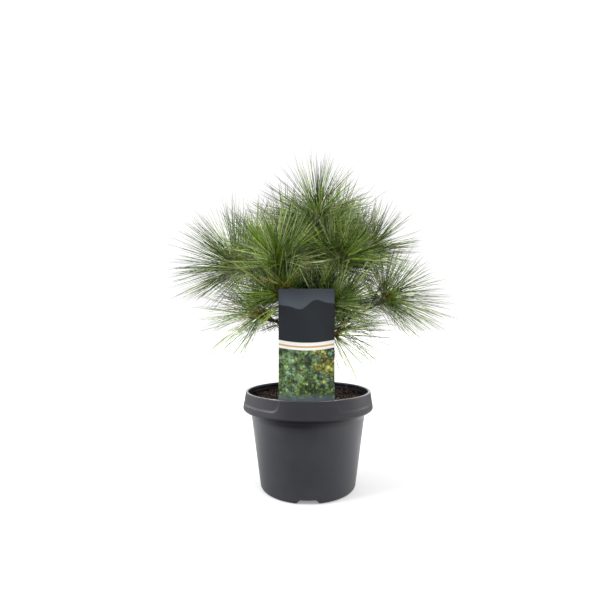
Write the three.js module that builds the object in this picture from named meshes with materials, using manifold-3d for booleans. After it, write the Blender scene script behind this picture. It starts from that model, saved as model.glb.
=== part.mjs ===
// Potted radiata eastern white pine: a young, rounded dwarf pine in a 19 cm nursery pot.
// Millimetres, +Z up. The origin is the middle of the pot's flat underside, the front faces -Y.
import * as THREE from 'three';
import { mergeVertices } from 'three/addons/utils/BufferGeometryUtils.js';
import Module from 'manifold-3d';

const wasm = await Module();
wasm.setup();

// Driving dimensions of the pot
const POT_HEIGHT = 140;
const BASE_RADIUS = 70;
const BASE_ROUNDING = 5;
const BODY_TOP_RADIUS = 82.5;
const BODY_TOP = 101.5;
const COLLAR_RADIUS = 95;
const COLLAR_WIDEST = 117;
const COLLAR_UNDERSIDE_SPREAD = 0.4;
const COLLAR_UNDERSIDE_RISES = [0.85, 0.6];
const COLLAR_UNDERSIDE_STEPS = 5;
const RIM_RADIUS = 91.9;
const RIM_INNER_RADIUS = 88;
const RIM_ROUNDING = 0.9;
const RIM_DEPTH = 3;
const WALL = 1.8;
const POT_SIDES = 36;
const DRAIN_COUNT = 4;
const DRAIN_HEIGHT = 6.2;
const DRAIN_WIDTH_TOP = 22;
const DRAIN_WIDTH_FOOT = 32;
const DRAIN_CORNER = 1.5;
const DRAIN_INNER_RADIUS = 56;

// Driving dimensions of the soil, the label card and the clearance between touching pieces
const CLEARANCE = 0.3;
const SOIL_LEVEL = 128;
const SOIL_SLACK = 0.5;
const SOIL_LUMP = 1.1;
const SOIL_LUMP_ANGLE = 11;
const SOIL_FLAT_RADIUS = 24;
const SOIL_RINGS = [0.82, 0.6, 0.42];
const SOIL_LEVEL_BAND = 1;
const SOIL_SIDES = 26;
const CARD_WIDTH = 72;
const CARD_MIDDLE = -2;
const CARD_TOP = 282.3;
const CARD_FOOT = 132;
const CARD_THICKNESS = 0.8;
const CARD_FRONT = -78.9;
const CARD_CORNER = 1.5;
const STAKE_WIDTH = 16;
const STAKE_POINT_WIDTH = 6;
const STAKE_DEPTH = 40;
const STAKE_TAPER = 18;
const CORNER_STEPS = 3;
const WELD_DISTANCE = 1e-4;

// Driving dimensions of the trunk and the limbs
const TRUNK_FOOT_RADIUS = 9.5;
const TRUNK_FLARE_HEIGHT = 22;
const TRUNK_RADIUS = 6.6;
const TRUNK_TIP_RADIUS = 2.6;
const TRUNK_TIP = new THREE.Vector3(5, -1, 362);
const TRUNK_BOW = new THREE.Vector3(-7, 4, 0);
const TRUNK_SIDES = 9;
const TRUNK_STEPS = 12;
const HEIGHT_HALVINGS = 30;
const LIMB_SIDES = 5;
const BOUGH_STEPS = 4;
const BOUGH_ROOT_RADIUS = 2.5;
const BOUGH_TIP_RADIUS = 1.9;
const BOUGH_RISE = 24;
const BEND_SHARE = 1 / 3;
const STEEPEST = 0.95;

// Driving dimensions of the shoots: lengths in millimetres, angles in degrees
const STEM_LENGTH = 42;
const LEADER_LENGTH = 40;
const STEM_RADIUS = 2.4;
const TWIG_RADIUS = 2.1;
const BUD_RADIUS = 2.2;
const SHOOT_SIDES = 4;
const TWIG_SPOTS = [0.34, 0.5];
const TWIG_LENGTH = 30;
const TWIG_LENGTH_RANGE = [0.85, 1.15];
const TWIG_ANGLE = 48;
const TWIG_ANGLE_JITTER = 16;
const TWIG_ROLL_JITTER = 50;
const TWIG_LIFT = 0.15;
const TWIG_ROLL_SHARE = 0.8;
const SEED = 20260;
const SEED_STEP = 97;

// Driving dimensions of the needles
const STEM_NEEDLES = 18;
const TWIG_NEEDLES = 9;
const STEM_FRONT_NEEDLES = 5;
const TWIG_FRONT_NEEDLES = 3;
const LEADER_NEEDLE_LENGTH = 95;
const TWIG_NEEDLE_SHARE = 0.88;
const NEEDLE_LENGTH_RANGE = [0.93, 1.05];
const NEEDLE_RADIUS = 1.1;
const NEEDLE_SIDES = 3;
const UPPER_SAG = 0.05;
const HANGING_SHORTER = 0.2;
const GOLDEN_ANGLE = 137.5;
const TURN_JITTER = 24;
const LEAN_JITTER = 10;
const SIDE_LEAN = [84, 34];
const FRONT_LEAN = [27, 9];
const SIDE_SEATS = [0.26, 0.9];
const SIDE_SEAT_RADIUS = 0.35;
const FRONT_SEAT_RADIUS = 0.9;
const SEAT_DEPTH = 1.4;

// Room that a needle keeps: to other masses, to limbs, to the card, to its own neighbours
const SPACE_MARGIN = 2.8;
const LIMB_MARGIN = 1.6;
const CARD_MARGIN = 5;
const NEEDLE_APART = 2.2;
const LOWEST_TIP = 156;
const SHORTEST_SHARE = 0.38;
const SHORTENING = 0.1;
const NEEDLE_TRIES = 4;
const CHECKED_POINTS = 10;
const ROOT_POINTS = 2;
const KEPT_POINTS = 30;
const KEPT_ROOT_POINTS = 4;
const STATIONS = 40;

// Each whorl: the height of its lowest bough on the trunk, the step up to the next one and how
// far its needles sag for each unit of their level reach.
// A bough's row gives the azimuth from +X, how far out its bud lies, the bud's height, the
// shoot's rise above the level and the length of its needles, in degrees and millimetres.
const WHORLS = [
  {
    name: 'low',
    level: 194,
    step: 7,
    sag: 0.26,
    rows: [
      [298, 79, 222, 0, 78],
      [214, 90, 246, 8, 91],
      [350, 121, 275, 26, 90],
      [140, 112, 258, 20, 84],
      [65, 116, 264, 24, 86],
    ],
  },
  {
    name: 'middle',
    level: 236,
    step: 7,
    sag: 0.08,
    rows: [
      [304, 70, 266, 42, 74],
      [238, 82, 280, 40, 78],
      [180, 112, 322, 18, 100],
      [102, 117, 316, 26, 90],
      [20, 108, 354, 32, 80],
      [278, 58, 275, 62, 72],
    ],
  },
  {
    name: 'high',
    level: 284,
    step: 7,
    sag: 0.07,
    rows: [
      [233, 74, 328, 62, 82],
      [321, 64, 330, 52, 78],
      [157, 94, 360, 42, 78],
      [50, 100, 374, 46, 88],
      [98, 92, 360, 46, 88],
    ],
  },
];

// Shoots that leave the trunk near its tip: azimuth, bud distance, bud height, the height of
// the foot on the trunk and the length of the needles
const UPPER_SHOOTS = [
  [318, 34, 358, 322, 76],
  [140, 52, 392, 336, 74],
  [15, 54, 390, 348, 76],
];

const UP = new THREE.Vector3(0, 0, 1);
const ACROSS = new THREE.Vector3(1, 0, 0);
const AXIS_FOOT = new THREE.Vector3(0, 0, SOIL_LEVEL + CLEARANCE);
const radians = THREE.MathUtils.degToRad;
const lerp = THREE.MathUtils.lerp;

function material(color, roughness) {
  return new THREE.MeshStandardMaterial({ color, roughness, metalness: 0 });
}

const potPlastic = material('#3d3e42', 0.45);
const soilBrown = material('#2a1c15', 0.95);
const cardSlate = material('#44484d', 0.5);
const bark = material('#6a5443', 0.85);
const twigBark = material('#7d6a4c', 0.8);
const needleGreen = material('#4f6b2e', 0.6);

// A small seeded sequence of numbers from 0 to 1
function sequence(seed) {
  let state = seed >>> 0;
  return () => {
    state = (Math.imul(1664525, state) + 1013904223) >>> 0;
    return state / 4294967296;
  };
}

function closedSolid(geometry) {
  const bare = geometry.clone();
  bare.deleteAttribute('normal');
  bare.deleteAttribute('uv');
  const merged = mergeVertices(bare, WELD_DISTANCE);
  const mesh = new wasm.Mesh({
    numProp: 3,
    vertProperties: new Float32Array(merged.attributes.position.array),
    triVerts: new Uint32Array(merged.index.array),
  });
  return new wasm.Manifold(mesh);
}

// The largest piece of a solid as a geometry: loose scraps are dropped
function geometryOf(solid) {
  const pieces = solid.decompose();
  pieces.sort((a, b) => b.volume() - a.volume());
  const mesh = pieces[0].getMesh();
  const geometry = new THREE.BufferGeometry();
  geometry.setAttribute('position', new THREE.BufferAttribute(mesh.vertProperties, 3));
  geometry.setIndex(new THREE.BufferAttribute(mesh.triVerts, 1));
  geometry.computeVertexNormals();
  return geometry;
}

const part = new THREE.Group();

function addNode(name, geometry, look) {
  const mesh = new THREE.Mesh(geometry, look);
  mesh.name = name;
  part.add(mesh);
}

// The wall's outer face from the rounded foot to the rim, as radius and height
function wallProfile() {
  const foot = new THREE.Vector2(BASE_RADIUS - BASE_ROUNDING, BASE_ROUNDING);
  const points = [];
  for (let i = 0; i <= CORNER_STEPS; i += 1) {
    const turn = lerp(-90, 0, i / CORNER_STEPS);
    const out = new THREE.Vector2(Math.cos(radians(turn)), Math.sin(radians(turn)));
    points.push(out.multiplyScalar(BASE_ROUNDING).add(foot));
  }
  const spread = COLLAR_UNDERSIDE_SPREAD;
  const [lowRise, highRise] = COLLAR_UNDERSIDE_RISES;
  const underside = new THREE.CubicBezierCurve(
    new THREE.Vector2(BODY_TOP_RADIUS, BODY_TOP),
    new THREE.Vector2(BODY_TOP_RADIUS + spread, lerp(BODY_TOP, COLLAR_WIDEST, lowRise)),
    new THREE.Vector2(COLLAR_RADIUS + spread, lerp(BODY_TOP, COLLAR_WIDEST, highRise)),
    new THREE.Vector2(COLLAR_RADIUS, COLLAR_WIDEST),
  );
  points.push(...underside.getPoints(COLLAR_UNDERSIDE_STEPS));
  points.push(new THREE.Vector2(RIM_RADIUS, POT_HEIGHT - RIM_ROUNDING));
  return points;
}

// A profile moved square to itself towards the inside of the pot
function movedIn(profile, distance) {
  return profile.map((point, i) => {
    const before = profile[Math.max(i - 1, 0)];
    const after = profile[Math.min(i + 1, profile.length - 1)];
    const way = after.clone().sub(before).normalize();
    const inward = new THREE.Vector2(-way.y, way.x);
    if (i === 0) {
      inward.set(0, 1);
    }
    return point.clone().addScaledVector(inward, distance);
  });
}

// A profile's lower part, cut off level at a height
function cutLevel(profile, height) {
  const next = profile.findIndex((point) => point.y > height);
  const below = profile[next - 1];
  const above = profile[next];
  const edge = below.clone().lerp(above, (height - below.y) / (above.y - below.y));
  return [...profile.slice(0, next), edge];
}

function latheOf(profile, sides) {
  const geometry = new THREE.LatheGeometry(profile, sides);
  geometry.rotateX(Math.PI / 2);
  return geometry;
}

// An outline in the upright plane, drawn out towards the front by a depth
function plateOf(shape, depth) {
  const options = { depth, bevelEnabled: false, curveSegments: CORNER_STEPS };
  const geometry = new THREE.ExtrudeGeometry(shape, options);
  geometry.rotateX(Math.PI / 2);
  return geometry;
}

// Drain opening: a low arch with sloped ends that cuts the bottom corner of the wall
function drainCutter() {
  const foot = DRAIN_WIDTH_FOOT / 2;
  const top = DRAIN_WIDTH_TOP / 2;
  const corner = DRAIN_CORNER;
  const shape = new THREE.Shape();
  shape.moveTo(-foot - corner, -corner);
  shape.lineTo(foot + corner, -corner);
  shape.quadraticCurveTo(foot - corner, 0, top + corner, DRAIN_HEIGHT - corner);
  shape.quadraticCurveTo(top, DRAIN_HEIGHT, top - corner, DRAIN_HEIGHT);
  shape.lineTo(corner - top, DRAIN_HEIGHT);
  shape.quadraticCurveTo(-top, DRAIN_HEIGHT, -top - corner, DRAIN_HEIGHT - corner);
  shape.quadraticCurveTo(corner - foot, 0, -foot - corner, -corner);
  const geometry = plateOf(shape, COLLAR_RADIUS - DRAIN_INNER_RADIUS);
  geometry.translate(0, -DRAIN_INNER_RADIUS, 0);
  return geometry;
}

// Thin-walled pot: tapered body, collar that stands out, rim with a small inner lip
function buildPot() {
  const outside = wallProfile();
  const inside = cutLevel(movedIn(outside, WALL), POT_HEIGHT - RIM_DEPTH - WALL);
  const profile = [
    new THREE.Vector2(0, 0),
    ...outside,
    new THREE.Vector2(RIM_RADIUS - RIM_ROUNDING, POT_HEIGHT),
    new THREE.Vector2(RIM_INNER_RADIUS + RIM_ROUNDING, POT_HEIGHT),
    new THREE.Vector2(RIM_INNER_RADIUS, POT_HEIGHT - RIM_ROUNDING),
    new THREE.Vector2(RIM_INNER_RADIUS, POT_HEIGHT - RIM_DEPTH),
    ...inside.reverse(),
    new THREE.Vector2(0, WALL),
  ];
  let pot = closedSolid(latheOf(profile, POT_SIDES));
  for (let i = 0; i < DRAIN_COUNT; i += 1) {
    const cutter = drainCutter();
    cutter.rotateZ((i / DRAIN_COUNT) * Math.PI * 2);
    pot = pot.subtract(closedSolid(cutter));
  }
  addNode('pot', geometryOf(pot), potPlastic);
}

// The card with its pointed stake, grown by a clearance where it cuts its own slot
function cardGeometry(grow) {
  const half = CARD_WIDTH / 2;
  const stake = STAKE_WIDTH / 2 + grow;
  const point = STAKE_POINT_WIDTH / 2 + grow;
  const tip = CARD_FOOT - STAKE_DEPTH - grow;
  const corner = CARD_CORNER;
  const shape = new THREE.Shape();
  shape.moveTo(-point, tip);
  shape.lineTo(point, tip);
  shape.lineTo(stake, tip + STAKE_TAPER);
  shape.lineTo(stake, CARD_FOOT);
  shape.lineTo(half, CARD_FOOT);
  shape.lineTo(half, CARD_TOP - corner);
  shape.quadraticCurveTo(half, CARD_TOP, half - corner, CARD_TOP);
  shape.lineTo(corner - half, CARD_TOP);
  shape.quadraticCurveTo(-half, CARD_TOP, -half, CARD_TOP - corner);
  shape.lineTo(-half, CARD_FOOT);
  shape.lineTo(-stake, CARD_FOOT);
  shape.lineTo(-stake, tip + STAKE_TAPER);
  shape.closePath();
  const geometry = plateOf(shape, CARD_THICKNESS + 2 * grow);
  geometry.translate(CARD_MIDDLE, CARD_FRONT + CARD_THICKNESS + grow, 0);
  return geometry;
}

// Potting soil: fills the pot, gently lumpy on top and flat under the trunk
function buildSoil() {
  const side = cutLevel(movedIn(wallProfile(), WALL + SOIL_SLACK), SOIL_LEVEL);
  const edge = side[side.length - 1].x;
  const profile = [
    new THREE.Vector2(0, WALL + SOIL_SLACK),
    ...side,
    ...SOIL_RINGS.map((share) => new THREE.Vector2(edge * share, SOIL_LEVEL)),
    new THREE.Vector2(SOIL_FLAT_RADIUS, SOIL_LEVEL),
    new THREE.Vector2(0, SOIL_LEVEL),
  ];
  const geometry = latheOf(profile, SOIL_SIDES);
  const spots = geometry.attributes.position;
  for (let i = 0; i < spots.count; i += 1) {
    const x = spots.getX(i);
    const y = spots.getY(i);
    const radius = Math.hypot(x, y);
    const onTop = spots.getZ(i) > SOIL_LEVEL - CLEARANCE;
    const inside = radius > SOIL_FLAT_RADIUS + SOIL_LEVEL_BAND && radius < edge - SOIL_LEVEL_BAND;
    if (onTop && inside) {
      const wave = Math.sin(radians(x * SOIL_LUMP_ANGLE)) * Math.cos(radians(y * SOIL_LUMP_ANGLE));
      spots.setZ(i, SOIL_LEVEL + SOIL_LUMP * wave);
    }
  }
  const soil = closedSolid(geometry).subtract(closedSolid(cardGeometry(CLEARANCE)));
  addNode('soil', geometryOf(soil), soilBrown);
}

// A limb: a cylinder laid along a curve, its radius changing along the way. Its first corner
// faces the given direction, and a pointed one runs out to a sharp tip.
function limb(curve, radiusAt, sides, steps, facing, pointed = false) {
  const geometry = new THREE.CylinderGeometry(pointed ? 0 : 1, 1, 1, sides, steps);
  geometry.deleteAttribute('normal');
  geometry.deleteAttribute('uv');
  const frames = [];
  let across = facing;
  for (let i = 0; i <= steps; i += 1) {
    const along = i / steps;
    const tangent = curve.getTangent(along);
    across = across.clone().addScaledVector(tangent, -across.dot(tangent)).normalize();
    const side = across.clone().cross(tangent);
    frames.push({ centre: curve.getPoint(along), across, side, radius: radiusAt(along) });
  }
  const spots = geometry.attributes.position;
  for (let i = 0; i < spots.count; i += 1) {
    const { centre, across: ahead, side, radius } = frames[Math.round((spots.getY(i) + 0.5) * steps)];
    const spread = Math.hypot(spots.getX(i), spots.getZ(i));
    const reach = spread > 0 ? radius / spread : 0;
    const spot = centre.clone().addScaledVector(ahead, spots.getX(i) * reach);
    spot.addScaledVector(side, spots.getZ(i) * reach);
    spots.setXYZ(i, spot.x, spot.y, spot.z);
  }
  return geometry;
}

const trunkCurve = new THREE.CubicBezierCurve3(
  AXIS_FOOT,
  AXIS_FOOT.clone().setZ(lerp(AXIS_FOOT.z, TRUNK_TIP.z, BEND_SHARE)),
  AXIS_FOOT.clone().lerp(TRUNK_TIP, 1 - BEND_SHARE).add(TRUNK_BOW),
  TRUNK_TIP,
);

function trunkRadius(along) {
  const rise = along * (TRUNK_TIP.z - AXIS_FOOT.z);
  const flare = (TRUNK_FOOT_RADIUS - TRUNK_RADIUS) * Math.max(0, 1 - rise / TRUNK_FLARE_HEIGHT) ** 2;
  return lerp(TRUNK_RADIUS, TRUNK_TIP_RADIUS, along) + flare;
}

// The point of the trunk's middle line at a height
function trunkAt(height) {
  let low = 0;
  let high = 1;
  for (let i = 0; i < HEIGHT_HALVINGS; i += 1) {
    const middle = (low + high) / 2;
    if (trunkCurve.getPoint(middle).z < height) {
      low = middle;
    } else {
      high = middle;
    }
  }
  return trunkCurve.getPoint(low);
}

// A direction from an azimuth and a rise above the level, in degrees
function heading(azimuth, rise) {
  const flat = Math.cos(radians(rise));
  return new THREE.Vector3(
    flat * Math.cos(radians(azimuth)),
    flat * Math.sin(radians(azimuth)),
    Math.sin(radians(rise)),
  );
}

// A bough and the stem of its mass, from one row of a whorl
function planBough(whorl, index) {
  const [azimuth, reach, height, rise, needleLength] = whorl.rows[index];
  const foot = trunkAt(whorl.level + index * whorl.step);
  const bud = heading(azimuth, 0).multiplyScalar(reach).setZ(height);
  const along = heading(azimuth, rise);
  const stemFoot = bud.clone().addScaledVector(along, -STEM_LENGTH);
  const tip = stemFoot.clone().addScaledVector(along, -CLEARANCE);
  const pull = foot.distanceTo(tip) * BEND_SHARE;
  const curve = new THREE.CubicBezierCurve3(
    foot,
    foot.clone().addScaledVector(heading(azimuth, BOUGH_RISE), pull),
    tip.clone().addScaledVector(along, -pull),
    tip,
  );
  const label = `${whorl.name}_${index + 1}`;
  return { label, curve, foot: stemFoot, bud, needleLength, sag: whorl.sag, onTrunk: false };
}

// A shoot that leaves the trunk near its tip, with no bough
function planUpperShoot([azimuth, reach, height, footHeight, needleLength], index) {
  const foot = trunkAt(footHeight);
  const bud = heading(azimuth, 0).multiplyScalar(reach).setZ(height);
  const label = `upper_${index + 1}`;
  return { label, curve: null, foot, bud, needleLength, sag: UPPER_SAG, onTrunk: true };
}

// The shoot that carries the trunk on upwards
function planLeader() {
  const along = trunkCurve.getTangent(1);
  const foot = TRUNK_TIP.clone().addScaledVector(along, CLEARANCE);
  const bud = foot.clone().addScaledVector(along, LEADER_LENGTH);
  const needleLength = LEADER_NEEDLE_LENGTH;
  return { label: 'leader', curve: null, foot, bud, needleLength, sag: UPPER_SAG, onTrunk: false };
}

// A shoot with the two directions across it that its sides and needles are counted from
function shootBetween(from, to, main) {
  const along = to.clone().sub(from).normalize();
  const level = Math.abs(along.z) > STEEPEST ? ACROSS : UP;
  const aside = along.clone().cross(level).normalize();
  const over = aside.clone().cross(along);
  return { from, to, along, aside, over, main };
}

// A direction that leans away from a shoot, turned round it from its side
function leaning(shoot, lean, turn) {
  const direction = shoot.along.clone().multiplyScalar(Math.cos(radians(lean)));
  direction.addScaledVector(shoot.aside, Math.sin(radians(lean)) * Math.cos(radians(turn)));
  return direction.addScaledVector(shoot.over, Math.sin(radians(lean)) * Math.sin(radians(turn)));
}

function within([least, most], random) {
  return lerp(least, most, random());
}

function jitter(range, random) {
  return (random() - 0.5) * range;
}

// A mass's shoots: its stem, and twigs that leave the stem to both sides by the seeded rule
function growShoots(plan, index) {
  const random = sequence(SEED + index * SEED_STEP);
  const stem = shootBetween(plan.foot, plan.bud, true);
  const shoots = [stem];
  TWIG_SPOTS.forEach((spot, side) => {
    const lean = radians(TWIG_ANGLE + jitter(TWIG_ANGLE_JITTER, random));
    const roll = radians(180 * side + jitter(TWIG_ROLL_JITTER, random));
    const reach = TWIG_LENGTH * within(TWIG_LENGTH_RANGE, random);
    const lift = Math.abs(Math.sin(roll)) * TWIG_ROLL_SHARE + TWIG_LIFT;
    const sideways = stem.aside.clone().multiplyScalar(Math.cos(roll));
    sideways.addScaledVector(stem.over, lift).normalize();
    const direction = stem.along.clone().multiplyScalar(Math.cos(lean));
    direction.addScaledVector(sideways, Math.sin(lean));
    const from = plan.foot.clone().lerp(plan.bud, spot);
    shoots.push(shootBetween(from, from.clone().addScaledVector(direction, reach), false));
  });
  return { ...plan, shoots, random };
}

const boughPlans = WHORLS.flatMap((whorl) => whorl.rows.map((row, index) => planBough(whorl, index)));
const masses = [...boughPlans, ...UPPER_SHOOTS.map(planUpperShoot), planLeader()].map(growShoots);
const boughMasses = masses.filter((mass) => mass.curve !== null);

function boughRadius(along) {
  return lerp(BOUGH_ROOT_RADIUS, BOUGH_TIP_RADIUS, along);
}

// Points along a limb with their radii, for keeping needles clear of it
function stations(curve, radiusAt) {
  return curve.getPoints(STATIONS).map((centre, i) => ({ centre, radius: radiusAt(i / STATIONS) }));
}

const limbStations = [
  ...stations(trunkCurve, trunkRadius),
  ...boughMasses.flatMap((mass) => stations(mass.curve, boughRadius)),
];

function distanceToShoots(spot, shoots) {
  const nearest = new THREE.Vector3();
  const distances = shoots.map((shoot) => {
    new THREE.Line3(shoot.from, shoot.to).closestPointToPoint(spot, true, nearest);
    return spot.distanceTo(nearest);
  });
  return Math.min(...distances);
}

// A mass keeps to the points that lie nearer to its own shoots than to any other's
function inOwnSpace(spot, mass) {
  const own = distanceToShoots(spot, mass.shoots) + SPACE_MARGIN;
  return masses.every((other) => other === mass || distanceToShoots(spot, other.shoots) > own);
}

function clearOfLimbs(spot) {
  const margin = NEEDLE_RADIUS + LIMB_MARGIN;
  return limbStations.every(({ centre, radius }) => spot.distanceTo(centre) > radius + margin);
}

// The card and the room in front of it stay free of needles
function clearOfCard(spot) {
  const beside = Math.abs(spot.x - CARD_MIDDLE) > CARD_WIDTH / 2 + CARD_MARGIN;
  return beside || spot.y > CARD_FRONT + CARD_MARGIN || spot.z > CARD_TOP + CARD_MARGIN;
}

// Needles of one mass don't cross each other beyond their roots
function clearOfNeedles(spots, grown) {
  return grown.every((other) =>
    spots.every((spot) => other.every((taken) => spot.distanceTo(taken) > NEEDLE_APART)));
}

function fits(line, mass, grown) {
  const spots = line.getPoints(CHECKED_POINTS).slice(ROOT_POINTS);
  return line.getPoint(1).z > LOWEST_TIP
    && spots.every((spot) => inOwnSpace(spot, mass) && clearOfLimbs(spot) && clearOfCard(spot))
    && clearOfNeedles(spots, grown);
}

// The longest needle that fits from a root, or null where none does
function longestFit(mass, root, direction, length, grown) {
  const sag = mass.sag * Math.hypot(direction.x, direction.y);
  const way = direction.clone().setZ(direction.z - sag);
  for (let share = 1; share >= SHORTEST_SHARE; share -= SHORTENING) {
    const line = new THREE.LineCurve3(root, root.clone().addScaledVector(way, length * share));
    if (fits(line, mass, grown)) {
      return line;
    }
  }
  return null;
}

// Side needle number i leaves a flat side of its shoot, on a golden spiral: wide near the
// shoot's foot and more forward near its bud
function sideNeedle(shoot, i, count, random) {
  const place = (i + 0.5) / count;
  const turn = GOLDEN_ANGLE * i + jitter(TURN_JITTER, random);
  const lean = lerp(...SIDE_LEAN, place) + jitter(LEAN_JITTER, random);
  const root = shoot.from.clone().lerp(shoot.to, lerp(...SIDE_SEATS, place));
  const face = 360 / SHOOT_SIDES;
  const facing = (Math.floor(turn / face) + 0.5) * face;
  root.addScaledVector(leaning(shoot, 90, facing), SIDE_SEAT_RADIUS);
  return { root, direction: leaning(shoot, lean, turn) };
}

// Front needle number i stands on the bud's end and points forward
function frontNeedle(shoot, i, count, random) {
  const turn = (360 * i) / count + jitter(TURN_JITTER, random);
  const lean = FRONT_LEAN[i % 2] + jitter(LEAN_JITTER, random);
  const root = shoot.to.clone().addScaledVector(shoot.along, -SEAT_DEPTH);
  root.addScaledVector(leaning(shoot, 90, turn), FRONT_SEAT_RADIUS);
  return { root, direction: leaning(shoot, lean, turn) };
}

function growNeedles(mass, shoot, grown) {
  const count = shoot.main ? STEM_NEEDLES : TWIG_NEEDLES;
  const frontCount = shoot.main ? STEM_FRONT_NEEDLES : TWIG_FRONT_NEEDLES;
  const sideCount = count - frontCount;
  const share = shoot.main ? 1 : TWIG_NEEDLE_SHARE;
  const needles = [];
  for (let i = 0; i < count; i += 1) {
    for (let attempt = 0; attempt < NEEDLE_TRIES; attempt += 1) {
      const { root, direction } = i < sideCount
        ? sideNeedle(shoot, i, sideCount, mass.random)
        : frontNeedle(shoot, i - sideCount, frontCount, mass.random);
      const hanging = 1 - HANGING_SHORTER * Math.max(0, -direction.z);
      const length = mass.needleLength * share * hanging * within(NEEDLE_LENGTH_RANGE, mass.random);
      const line = longestFit(mass, root, direction, length, grown);
      if (line !== null) {
        needles.push(line);
        grown.push(line.getPoints(KEPT_POINTS).slice(KEPT_ROOT_POINTS));
        break;
      }
    }
  }
  return needles;
}

function trunkLimb(grow) {
  return closedSolid(
    limb(trunkCurve, (along) => trunkRadius(along) + grow, TRUNK_SIDES, TRUNK_STEPS, ACROSS),
  );
}

const trunkRoom = trunkLimb(CLEARANCE);

// A bough starts at the trunk's bark, shaped to it
function buildBough(mass) {
  const bough = closedSolid(limb(mass.curve, boughRadius, LIMB_SIDES, BOUGH_STEPS, UP));
  addNode(`bough_${mass.label}`, geometryOf(bough.subtract(trunkRoom)), twigBark);
}

function shootSolid(shoot) {
  const foot = shoot.main ? STEM_RADIUS : TWIG_RADIUS;
  const line = new THREE.LineCurve3(shoot.from, shoot.to);
  return closedSolid(limb(line, (along) => lerp(foot, BUD_RADIUS, along), SHOOT_SIDES, 1, shoot.aside));
}

// A mass: its shoots with the needles fused on
function buildMass(mass) {
  const solids = mass.shoots.map(shootSolid);
  const grown = [];
  for (const shoot of mass.shoots) {
    for (const line of growNeedles(mass, shoot, grown)) {
      solids.push(closedSolid(limb(line, () => NEEDLE_RADIUS, NEEDLE_SIDES, 1, shoot.over, true)));
    }
  }
  const whole = solids.reduce((joined, solid) => joined.add(solid));
  const free = mass.onTrunk ? whole.subtract(trunkRoom) : whole;
  addNode(`needles_${mass.label}`, geometryOf(free), needleGreen);
}

buildPot();
buildSoil();
addNode('label_card', geometryOf(closedSolid(cardGeometry(0))), cardSlate);
addNode('trunk', geometryOf(trunkLimb(0)), bark);
boughMasses.forEach(buildBough);
masses.forEach(buildMass);

export default part;
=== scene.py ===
"""Potted radiata eastern white pine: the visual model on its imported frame, in metres."""
import math

import bpy
import mathutils
import numpy as np
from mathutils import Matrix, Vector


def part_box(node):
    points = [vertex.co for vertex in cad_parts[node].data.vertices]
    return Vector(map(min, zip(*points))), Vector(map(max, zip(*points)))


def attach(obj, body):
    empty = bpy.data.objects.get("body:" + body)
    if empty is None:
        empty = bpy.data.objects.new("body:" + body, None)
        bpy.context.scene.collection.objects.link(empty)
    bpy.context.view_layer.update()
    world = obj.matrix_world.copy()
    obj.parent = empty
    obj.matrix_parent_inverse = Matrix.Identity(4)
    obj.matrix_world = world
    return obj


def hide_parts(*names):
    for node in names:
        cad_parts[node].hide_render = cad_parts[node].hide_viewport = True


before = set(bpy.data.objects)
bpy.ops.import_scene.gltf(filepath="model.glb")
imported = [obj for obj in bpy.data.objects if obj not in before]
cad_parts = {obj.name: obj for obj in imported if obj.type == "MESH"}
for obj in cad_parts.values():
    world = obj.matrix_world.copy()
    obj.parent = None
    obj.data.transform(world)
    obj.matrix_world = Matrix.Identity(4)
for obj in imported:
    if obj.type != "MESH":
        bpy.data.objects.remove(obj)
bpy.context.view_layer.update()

# The studio: a pale table under white surroundings, bright behind the plant and overhead and dark
# behind the camera, with three soft lights. The table throws a pool of light up at the plant that
# is weakest in front of it. Nothing here belongs to the plant.
PHOTO_SIDE = 615
FOCAL_LENGTH_PIXELS = 390.8
HORIZON_ROW = 325.3
MIDDLE_COLUMN = 308.1
SENSOR_WIDTH = 36.0
CAMERA_DISTANCE = 0.5804
CAMERA_HEIGHT = 0.2353
FLOOR_SIDE = 30.0
FLOOR_ROUGHNESS = 0.9
# the table as the camera sees it, and as its light reaches the plant
FLOOR_COLOUR = (0.32, 0.32, 0.32, 1.0)
FLOOR_COLOUR_BOUNCED = (0.02, 0.02, 0.02, 1.0)
FLOOR_GLOW = 0.29
FLOOR_GLOW_THROWN = (0.0, 1.25)
# how far from the shade's place the thrown light grows, and how far from the pot it ends
FLOOR_SHADE_PLACE = (-0.07, -0.21, 0.0)
FLOOR_SHADE_REACH = (0.09, 0.44)
FLOOR_POOL_REACH = (0.40, 0.85)
# strengths of the surroundings, and how far back and how far up a direction points as they change
STRENGTH_BEHIND_CAMERA = 0.16
STRENGTH_BEHIND_PLANT = 2.1
STRENGTH_OVERHEAD = 1.0
STRENGTH_SEEN = 1.05
BACKWARD_CHANGE = (-0.75, 0.3)
UPWARD_CHANGE = (0.3, 0.9)
# name, the way that the light comes from, strength, spread in degrees
SOFT_LIGHTS = [
    ("left_light", (-0.84, -0.34, 0.72), 4.4, 22),
    ("front_light", (0.52, -0.60, 0.66), 2.8, 30),
    ("right_light", (0.94, 0.34, 0.12), 0.30, 40),
]

scene = bpy.context.scene
scene.view_settings.view_transform = "Standard"


def feed(tree, socket, value):
    """Gives a node's socket its value, or links it to the socket that the value comes from."""
    if isinstance(value, bpy.types.NodeSocket):
        tree.links.new(value, socket)
    else:
        socket.default_value = value


def add_node(tree, kind, **settings):
    """A node with its sockets (names with _ for a space) or its own settings given by name."""
    made = tree.nodes.new(kind)
    for name, value in settings.items():
        socket = made.inputs.get(name.replace("_", " "))
        if socket is None:
            setattr(made, name, value)
        else:
            feed(tree, socket, value)
    return made


def new_material(name, **settings):
    """A material with its Principled shader's sockets set by name, and its node tree."""
    material = bpy.data.materials.new(name)
    material.use_nodes = True
    shader = material.node_tree.nodes["Principled BSDF"]
    for socket, value in settings.items():
        shader.inputs[socket.replace("_", " ")].default_value = value
    material.diffuse_color = shader.inputs["Base Color"].default_value
    return material, material.node_tree, shader


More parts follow.
